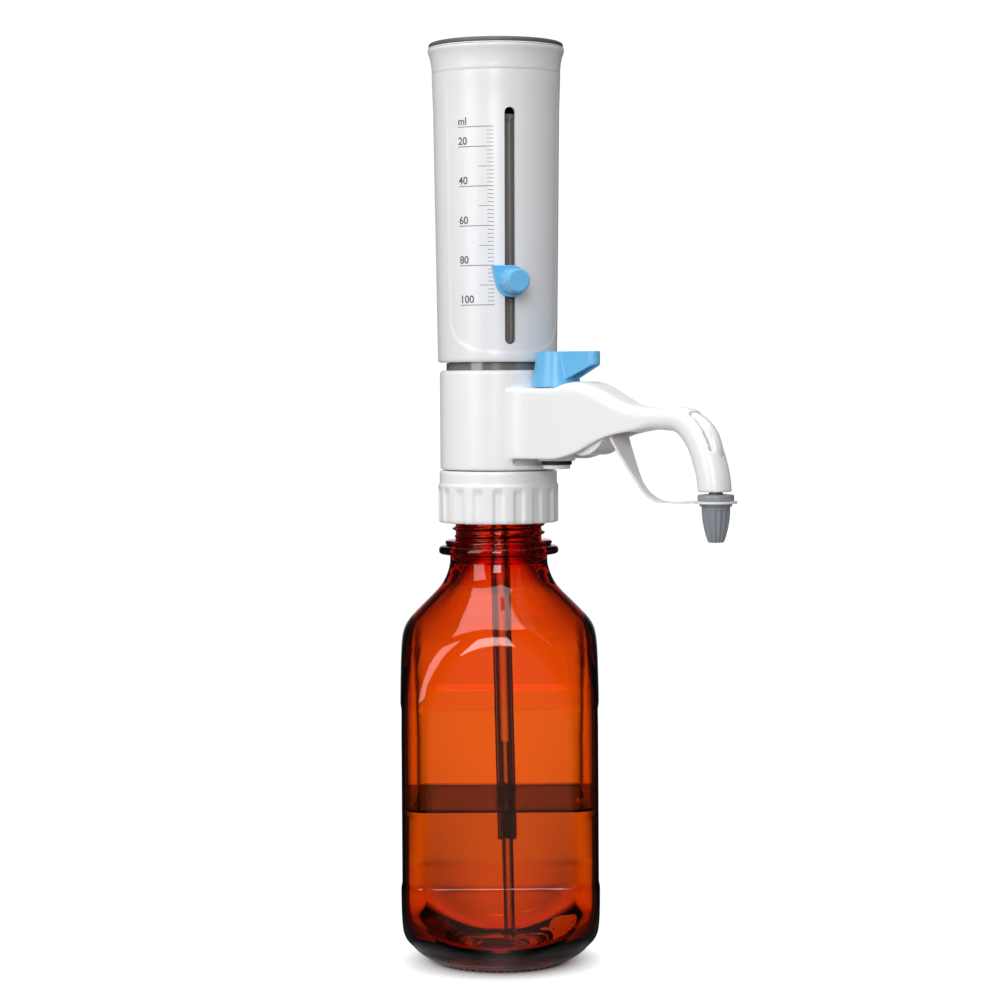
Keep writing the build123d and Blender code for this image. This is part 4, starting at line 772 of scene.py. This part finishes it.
def make_sleeve():
    base = SLEEVE_BASE_RADIUS
    line = [(base - SLEEVE_WALL, SLEEVE_BASE + 0.4), (base - SLEEVE_WALL + 0.4, SLEEVE_BASE), (base - 1.2, SLEEVE_BASE)]
    line += [(base - 0.55, SLEEVE_BASE + 0.16), (base - 0.15, SLEEVE_BASE + 0.6), (base, SLEEVE_BASE + 1.2)]
    heights = straight_line((0, SLEEVE_BASE + 1.2), (0, SLEEVE_TOP), SLEEVE_SPACING)[1:]
    line += [(sleeve_radius(height), height) for _, height in heights]
    line += [(SLEEVE_TOP_RADIUS - SLEEVE_WALL, SLEEVE_TOP)]
    line += [(sleeve_radius(height) - SLEEVE_WALL, height) for height in (SLEEVE_FLARE_BASE, SLEEVE_BASE + 84, SLEEVE_BASE + 42)]
    line += [line[0]]
    sleeve = turned("sleeve_shell", line, SLEEVE_STEPS)
    reshape(sleeve, shielded)
    cut(sleeve, slot_cutter())
    settle(sleeve, "plunger", materials["pearl"], ["scale_sleeve"], 30.0)


def slot_cutter():
    """Bar with round ends, the shape of the slot."""
    bpy.ops.object.select_all(action="DESELECT")
    bpy.ops.mesh.primitive_cylinder_add(vertices=48, radius=SLOT_WIDTH / 2 * MM, depth=20 * MM)
    bar = bpy.context.object
    stretch = (SLOT_TOP - SLOT_BOTTOM - SLOT_WIDTH) / 2
    bar.rotation_euler = (radians(90), 0, 0)
    bpy.ops.object.transform_apply(rotation=True)
    reshape(bar, lambda point: (point.x, point.y, point.z + (stretch if point.z > 0 else -stretch)))
    bar.rotation_euler = (0, 0, radians(SLOT_AZIMUTH - FRONT))
    bar.location = at(SLOT_AZIMUTH, SLEEVE_BASE_RADIUS, (SLOT_TOP + SLOT_BOTTOM) / 2) * MM
    bpy.ops.object.transform_apply(location=True, rotation=True)
    return bar


def wrapped(piece, azimuth):
    """Lay a flat print, drawn in X and Z with its thickness along -Y, round the sleeve."""
    def rule(point):
        radius = sleeve_radius(point.z)
        turn = azimuth + degrees(point.x / radius)
        return at(turn, radius - SHIELD_DEPTH + LINE_RISE - point.y, point.z)
    reshape(piece, rule)


def print_bar(left, right, height, weight):
    """Thin printed line between two angles on the sleeve."""
    length = radians(right - left) * sleeve_radius(height)
    bpy.ops.object.select_all(action="DESELECT")
    bpy.ops.mesh.primitive_cube_add(size=MM)
    bar = bpy.context.object
    bar.scale = (length, INK_THICKNESS, weight)
    bar.location = (length / 2 * MM, 0, height * MM)
    bpy.ops.object.transform_apply(location=True, scale=True)
    edit(bar)
    bpy.ops.mesh.subdivide(number_cuts=max(1, ceil(length / 1.5)))
    leave_edit()
    wrapped(bar, FRONT + left)
    return bar


def print_word(word, left, height, size):
    """Printed digits or letters that start at an angle on the sleeve."""
    bpy.ops.object.select_all(action="DESELECT")
    bpy.ops.object.text_add()
    text = bpy.context.object
    text.data.body = word
    text.data.size = size / 0.73 * MM
    text.data.extrude = INK_THICKNESS / 2 * MM
    text.data.offset = DIGIT_SWELL * MM
    text.rotation_euler = (radians(90), 0, 0)
    text.location = (0, 0, height * MM)
    bpy.ops.object.convert(target="MESH")
    bpy.ops.object.transform_apply(location=True, rotation=True)
    wrapped(text, FRONT + left)
    return text


def make_scale():
    bars = []
    for step in range(46):
        volume = 10 + 2 * step
        height = SCALE_TOP - SCALE_STEP * (volume - 10)
        labelled = volume == 10 or volume % 20 == 0
        if labelled:
            bars.append(print_bar(SCALE_LEFT, SCALE_RIGHT, height, LINE_WEIGHT))
        elif volume % 10 == 0:
            bars.append(print_bar(SCALE_MID, SCALE_RIGHT, height, FINE_WEIGHT))
        else:
            bars.append(print_bar(SCALE_SHORT, SCALE_RIGHT, height, FINE_WEIGHT))
    lines = joined(bars, "scale_lines")
    settle(lines, "plunger", materials["ink"], (), 30.0)
    words = []
    for volume in (20, 40, 60, 80, 100):
        height = SCALE_TOP - SCALE_STEP * (volume - 10) + DIGIT_RISE
        words.append(print_word(str(volume), SCALE_LEFT, height, DIGIT_HEIGHT))
    words.append(print_word("ml", SCALE_LEFT, SCALE_TOP + DIGIT_RISE, DIGIT_HEIGHT))
    figures = joined(words, "scale_figures")
    settle(figures, "plunger", materials["ink"], (), 30.0)


# Collar nut
def make_collar():
    line = [(COLLAR_BORE, COLLAR_BASE + 0.4), (COLLAR_BORE + 0.4, COLLAR_BASE)]
    line += [(27.0, COLLAR_BASE), (27.8, COLLAR_BASE + 0.25), (28.2, COLLAR_BASE + 0.9)]
    line += straight_line((COLLAR_RADIUS, COLLAR_BASE + 1.6), (COLLAR_RADIUS, COLLAR_BAND - 1.2), 1.2)
    line += [(28.25, COLLAR_BAND - 0.7), (28.05, COLLAR_BAND - 0.3), (27.75, COLLAR_BAND)]
    line += straight_line((27.7, COLLAR_BAND + 0.4), (27.7, COLLAR_TOP - 0.8), 1.2)
    line += [(27.5, COLLAR_TOP - 0.3), (27.0, COLLAR_TOP), (SPIGOT_BORE, COLLAR_TOP), (SPIGOT_BORE, SPIGOT_SEAT)]
    line += [(COLLAR_BORE, SPIGOT_SEAT), line[0]]

    def fluted(point):
        radius = hypot(point.x, point.y)
        if radius < 26:
            return point
        turn = atan2(point.y, point.x) * FLUTE_COUNT / (2 * pi)
        share = abs(turn % 1.0 - 0.5) * 2
        groove = 1 - smooth_step(0.28, 0.62, share)
        groove *= 1 - smooth_step(COLLAR_BAND - 4.5, COLLAR_BAND - 1.4, point.z)
        groove *= smooth_step(COLLAR_BASE - 2, COLLAR_BASE + 0.1, point.z)
        scale = (radius - FLUTE_DEPTH * groove) / radius
        return (point.x * scale, point.y * scale, point.z)

    collar = turned("collar_nut", line, COLLAR_STEPS)
    reshape(collar, fluted)
    settle(collar, "collar", materials["white"], ["screw_collar"], 35.0)


# Grip and disc
def make_grip():
    grip_line = smooth_line(GRIP_LINE, 0.5) + GRIP_EDGE + GRIP_INSIDE
    grip = turned("grip_shell", from_mouth(grip_line), GRIP_STEPS)
    settle(grip, "plunger", materials["pearl"], ["grip_collar"], 35.0)
    # White ring along the grip's top edge: a painted highlight
    highlight_rim = turned("grip_highlight_rim", from_mouth(RIM_HIGHLIGHT_LINE), GRIP_STEPS)
    settle(highlight_rim, "plunger", materials["white"], (), 35.0)
    disc = turned("top_disc", from_mouth(DISC_LINE), GRIP_STEPS)
    settle(disc, "plunger", materials["disc"], ["top_cap"], 35.0)


# Valve block's cover with the arm
def section_point(row, turn, around):
    """Point of a rounded section across the arm, in millimetres."""
    reach, height, pitch, width, depth, round_above, round_below = row
    corner = turn * 4 // around
    side_sign = 1 if corner in (0, 3) else -1
    rise_sign = 1 if corner < 2 else -1
    bend = min(round_above if rise_sign > 0 else round_below, width / 2, depth / 2)
    steps = around // 4
    angle = radians(90 * corner + 90 * (turn % steps) / (steps - 1))
    side = side_sign * (width / 2 - bend) + bend * cos(angle)
    rise = rise_sign * (depth / 2 - bend) + bend * sin(angle)
    out = reach + rise * sin(radians(pitch))
    place = at(ARM_AZIMUTH, out, BLOCK_BASE + height + rise * cos(radians(pitch)))
    return place + at(ARM_AZIMUTH - 90, side, 0)


def lofted(name, rows):
    """Closed skin over sections along the arm, shaped from a flat grid that meets itself."""
    around = 4 * (CORNER_STEPS + 1)
    bpy.ops.object.select_all(action="DESELECT")
    bpy.ops.mesh.primitive_grid_add(x_subdivisions=around, y_subdivisions=len(rows) - 1, size=1)
    piece = bpy.context.object
    piece.name = name
    for vertex in piece.data.vertices:
        turn = round((vertex.co.x + 0.5) * around) % around
        row = rows[round((vertex.co.y + 0.5) * (len(rows) - 1))]
        vertex.co = section_point(row, turn, around) * MM
    edit(piece)
    bpy.ops.mesh.remove_doubles(threshold=MERGE_DISTANCE * MM)
    bpy.ops.mesh.fill_holes(sides=0)
    bpy.ops.mesh.select_all(action="SELECT")
    bpy.ops.mesh.normals_make_consistent(inside=False)
    leave_edit()
    return piece


def bar(radius, bottom, top, azimuth=0.0, reach=0.0):
    """Upright round bar at a place, as a tool for cuts."""
    bpy.ops.object.select_all(action="DESELECT")
    bpy.ops.mesh.primitive_cylinder_add(vertices=128, radius=radius * MM, depth=(top - bottom) * MM)
    piece = bpy.context.object
    piece.location = at(azimuth, reach, (top + bottom) / 2) * MM
    bpy.ops.object.transform_apply(location=True, rotation=True, scale=True)
    return piece


def melted(piece, grain, rounds):
    """Rebuild a piece's skin in small even faces and soften its edges."""
    only(piece)
    skin = piece.modifiers.new("skin", "REMESH")
    skin.mode = "VOXEL"
    skin.voxel_size = grain * MM
    bpy.ops.object.modifier_apply(modifier=skin.name)
    soften = piece.modifiers.new("soften", "SMOOTH")
    soften.factor = 0.5
    soften.iterations = rounds
    bpy.ops.object.modifier_apply(modifier=soften.name)


def make_cover():
    """Round cover of the valve block with the arm that curves down to the outlet."""
    rows = smooth_line(ARM_SECTIONS, SECTION_SPACING)
    arm = lofted("block_shell", rows)
    hollow = []
    for reach, height, pitch, width, depth, round_above, round_below in ARM_SECTIONS:
        if reach < ARM_HOLLOW_END:
            lower = height - (ARM_WALL + SKIRT_OPENING) / 2
            taller = depth - ARM_WALL + SKIRT_OPENING
            inner_round = max(round_above - ARM_WALL, 0.4)
            hollow.append((reach, lower, pitch, width - 2 * ARM_WALL, taller, inner_round, round_below))
    hollow.insert(0, (ARM_HOLLOW_START, *hollow[0][1:]))
    inside = lofted("arm_hollow", smooth_line(hollow, SECTION_SPACING))
    cylinder = turned("block_ring", [(radius, BLOCK_BASE + height) for radius, height in BLOCK_LINE], BLOCK_STEPS)
    cut(arm, cylinder, "UNION")
    cut(arm, bar(BLOCK_BORE, BLOCK_BASE - 2, BLOCK_BASE + BLOCK_TOP + 2))
    cut(arm, inside)
    cut(arm, bar(VALVE_CLEARANCE, BLOCK_BASE + ARM_TOP, BLOCK_BASE + BLOCK_TOP + 2, ARM_AZIMUTH, VALVE_REACH))
    window = []
    for turn in range(*WINDOW_TURN):
        bend = TUBE_BEND + WINDOW_OUT
        out = OUTLET_REACH - TUBE_BEND + bend * cos(radians(turn))
        rise = TUBE_HEIGHT - TUBE_BEND + bend * sin(radians(turn))
        window.append((out, rise, 90.0 - turn, 2 * WINDOW_RADIUS, WINDOW_DEPTH, WINDOW_RADIUS, WINDOW_RADIUS))
    cut(arm, lofted("arm_window", window))
    outlet = BLOCK_BASE + OUTLET_DROP
    cut(arm, bar(OUTLET_BORE, outlet - 2, outlet + 14, ARM_AZIMUTH, OUTLET_REACH))
    melted(arm, COVER_GRAIN, COVER_ROUNDS)
    settle(arm, "head", materials["white"], ["block_cover"], 60.0)


# Nozzle cap
def make_cap():
    line = CAP_LINE + smooth_line(CAP_BODY, CAP_SPACING)[1:] + CAP_END

    def fluted(point):
        radius = hypot(point.x, point.y)
        if point.z > CAP_FLUTE_TOP or radius < CAP_BODY[-1][0] - 0.4:
            return point
        turn = atan2(point.y, point.x) * CAP_FLUTES / (2 * pi)
        share = abs(turn % 1.0 - 0.5) * 2
        groove = (1 - smooth_step(0.25, 0.8, share)) * smooth_step(0, 1.6, CAP_FLUTE_TOP - point.z)
        scale = (radius - CAP_FLUTE_DEPTH * groove) / radius
        return (point.x * scale, point.y * scale, point.z)

    cap = turned("cap_shell", line, CAP_STEPS)
    reshape(cap, fluted)
    cap.location = at(ARM_AZIMUTH, OUTLET_REACH, CAP_TOP) * MM
    settle(cap, "cap", materials["grey"], ["nozzle_cap"], 35.0)


# Lever, pointer and knob
def make_soft_skins():
    """Copies of plain solids with their edges softened."""
    for node_name, name, body, finish, slot, grain, rounds in SOFT_SKINS:
        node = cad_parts[node_name]
        piece = bpy.data.objects.new(name, node.data.copy())
        bpy.context.scene.collection.objects.link(piece)
        piece.matrix_world = node.matrix_world.copy()
        edit(piece)
        bpy.ops.mesh.remove_doubles(threshold=MERGE_DISTANCE * MM)
        bpy.ops.mesh.normals_make_consistent(inside=False)
        leave_edit()
        only(piece)
        bpy.ops.object.transform_apply(location=True, rotation=True, scale=True)
        melted(piece, grain, rounds)
        settle(piece, body, materials[finish], [node_name], 60.0)


# Studio
def band_mask():
    """Group that is bright towards +Y, less so towards -Y, +X and -X, and dark between."""
    tree = bpy.data.node_groups.new("Band mask", "ShaderNodeTree")
    group_sockets(tree, [("Vector", "NodeSocketVector", (0, 0, 0))], [("Mask", "NodeSocketFloat")])
    entry = add_node(tree, "NodeGroupInput")
    leave = add_node(tree, "NodeGroupOutput")
    split = add_node(tree, "ShaderNodeSeparateXYZ")
    tree.links.new(entry.outputs["Vector"], split.inputs[0])

    def step(operation, first, second):
        node = add_node(tree, "ShaderNodeMath", operation=operation)
        for socket, value in zip(node.inputs, (first, second)):
            if isinstance(value, float):
                socket.default_value = value
            else:
                tree.links.new(value, socket)
        return node.outputs[0]

    x_square = step("MULTIPLY", split.outputs["X"], split.outputs["X"])
    y_square = step("MULTIPLY", split.outputs["Y"], split.outputs["Y"])
    total = step("ADD", step("ADD", x_square, y_square), 0.00001)
    ratio = step("DIVIDE", step("SUBTRACT", x_square, y_square), total)
    band = step("POWER", step("MULTIPLY", ratio, ratio), BAND_POWER)
    depthwise = step("DIVIDE", y_square, total)
    weight = step("ADD", step("MULTIPLY", depthwise, 1.0 - SIDE_WEIGHT), SIDE_WEIGHT)
    front = add_node(tree, "ShaderNodeMapRange", {"From Min": -0.2, "From Max": 0.2, "To Min": FRONT_WEIGHT})
    tree.links.new(split.outputs["Y"], front.inputs["Value"])
    mask = step("MULTIPLY", step("MULTIPLY", band, weight), front.outputs["Result"])
    tree.links.new(mask, leave.inputs["Mask"])
    return tree


mask_group = band_mask()


def area_light(name, place, aim, size, power, colour=(1, 1, 1)):
    """Soft rectangular light, in metres and watts, aimed at a point."""
    data = bpy.data.lights.new(name, "AREA")
    data.shape = "RECTANGLE"
    data.size = size[0]
    data.size_y = size[1]
    data.energy = power
    data.color = colour
    light = bpy.data.objects.new(name, data)
    bpy.context.scene.collection.objects.link(light)
    light.location = place
    light.rotation_euler = (Vector(aim) - Vector(place)).to_track_quat("-Z", "Y").to_euler()
    return light


def make_floor():
    """Pale floor that is lit near the object and plain white further off."""
    bpy.ops.object.select_all(action="DESELECT")
    bpy.ops.mesh.primitive_grid_add(x_subdivisions=8, y_subdivisions=8, size=8)
    floor = bpy.context.object
    floor.name = "studio_floor"
    material, tree, shader = new_material("studio_floor")
    place = add_node(tree, "ShaderNodeTexCoord")
    ray = add_node(tree, "ShaderNodeLightPath")
    split = add_node(tree, "ShaderNodeSeparateXYZ")
    flat = add_node(tree, "ShaderNodeCombineXYZ")
    length = add_node(tree, "ShaderNodeVectorMath", operation="LENGTH")
    far = add_node(tree, "ShaderNodeMapRange", {"From Min": FLOOR_NEAR, "From Max": FLOOR_FAR})
    glow = add_node(tree, "ShaderNodeEmission")
    bands = add_node(tree, "ShaderNodeGroup", node_tree=mask_group)
    around = add_node(tree, "ShaderNodeMapRange", {"To Min": FLOOR_LOW, "To Max": FLOOR_HIGH})
    soft = add_node(tree, "ShaderNodeMix", {"B": FLOOR_SOFT}, data_type="FLOAT")
    power = add_node(tree, "ShaderNodeMix", {"B": BACKDROP}, data_type="FLOAT")
    mix = add_node(tree, "ShaderNodeMixShader")
    tree.links.new(place.outputs["Object"], bands.inputs["Vector"])
    tree.links.new(bands.outputs["Mask"], around.inputs["Value"])
    tree.links.new(around.outputs["Result"], soft.inputs["A"])
    tree.links.new(ray.outputs["Is Diffuse Ray"], soft.inputs["Factor"])
    tree.links.new(soft.outputs["Result"], power.inputs["A"])
    shader.inputs["Base Color"].default_value = (0.92, 0.92, 0.92, 1)
    shader.inputs["Roughness"].default_value = 0.75
    shader.inputs["Specular IOR Level"].default_value = 0.1
    tree.links.new(place.outputs["Object"], split.inputs[0])
    tree.links.new(split.outputs["X"], flat.inputs["X"])
    tree.links.new(split.outputs["Y"], flat.inputs["Y"])
    tree.links.new(flat.outputs[0], length.inputs[0])
    tree.links.new(length.outputs["Value"], far.inputs["Value"])
    tree.links.new(ray.outputs["Is Camera Ray"], power.inputs["Factor"])
    tree.links.new(power.outputs["Result"], glow.inputs["Strength"])
    tree.links.new(far.outputs["Result"], mix.inputs["Fac"])
    tree.links.new(shader.outputs["BSDF"], mix.inputs[1])
    tree.links.new(glow.outputs["Emission"], mix.inputs[2])
    tree.links.new(mix.outputs["Shader"], tree.nodes["Material Output"].inputs["Surface"])
    floor.data.materials.append(material)


def make_world():
    """White backdrop for the camera, and a softer grey surround for the light."""
    world = bpy.data.worlds.new("studio")
    bpy.context.scene.world = world
    world.use_nodes = True
    tree = world.node_tree
    back = tree.nodes["Background"]
    ray = add_node(tree, "ShaderNodeLightPath")
    place = add_node(tree, "ShaderNodeTexCoord")
    bands = add_node(tree, "ShaderNodeGroup", node_tree=mask_group)
    around = add_node(tree, "ShaderNodeMapRange", {"To Min": AROUND_LOW, "To Max": AROUND_HIGH})
    soft = add_node(tree, "ShaderNodeMix", {"B": AROUND_SOFT}, data_type="FLOAT")
    power = add_node(tree, "ShaderNodeMix", {"B": BACKDROP}, data_type="FLOAT")
    tree.links.new(place.outputs["Generated"], bands.inputs["Vector"])
    tree.links.new(bands.outputs["Mask"], around.inputs["Value"])
    tree.links.new(around.outputs["Result"], soft.inputs["A"])
    tree.links.new(ray.outputs["Is Diffuse Ray"], soft.inputs["Factor"])
    tree.links.new(soft.outputs["Result"], power.inputs["A"])
    back.inputs["Color"].default_value = (1, 1, 1, 1)
    tree.links.new(ray.outputs["Is Camera Ray"], power.inputs["Factor"])
    tree.links.new(power.outputs["Result"], back.inputs["Strength"])


def make_camera():
    data = bpy.data.cameras.new("camera")
    data.lens = CAMERA_LENS
    data.sensor_width = SENSOR_WIDTH
    data.shift_x, data.shift_y = CAMERA_SHIFT
    data.clip_start = 0.05
    data.clip_end = 20
    camera = bpy.data.objects.new("camera", data)
    bpy.context.scene.collection.objects.link(camera)
    camera.location = (0, -CAMERA_DISTANCE, CAMERA_HEIGHT)
    camera.rotation_euler = (radians(90 - CAMERA_PITCH), radians(CAMERA_ROLL), 0)
    bpy.context.scene.camera = camera


def make_studio():
    make_floor()
    make_world()
    area_light("top_softbox", (-0.1, -0.15, 1.35), (0, 0, 0.2), (1.1, 0.9), 9.0)
    area_light("key_softbox", (-1.05, -0.95, 0.75), (0, 0, 0.3), (0.7, 1.1), 9.0)
    area_light("front_softbox", (-0.12, -1.75, 0.75), (0, 0, 0.3), (0.5, 0.8), 10.0)
    bpy.context.scene.view_settings.view_transform = "Standard"


make_camera()
make_studio()
dress_nodes()
make_bottle()
make_knurl()
make_liquid()
make_sleeve()
make_scale()
make_grip()
make_collar()
make_cover()
make_cap()
make_soft_skins()
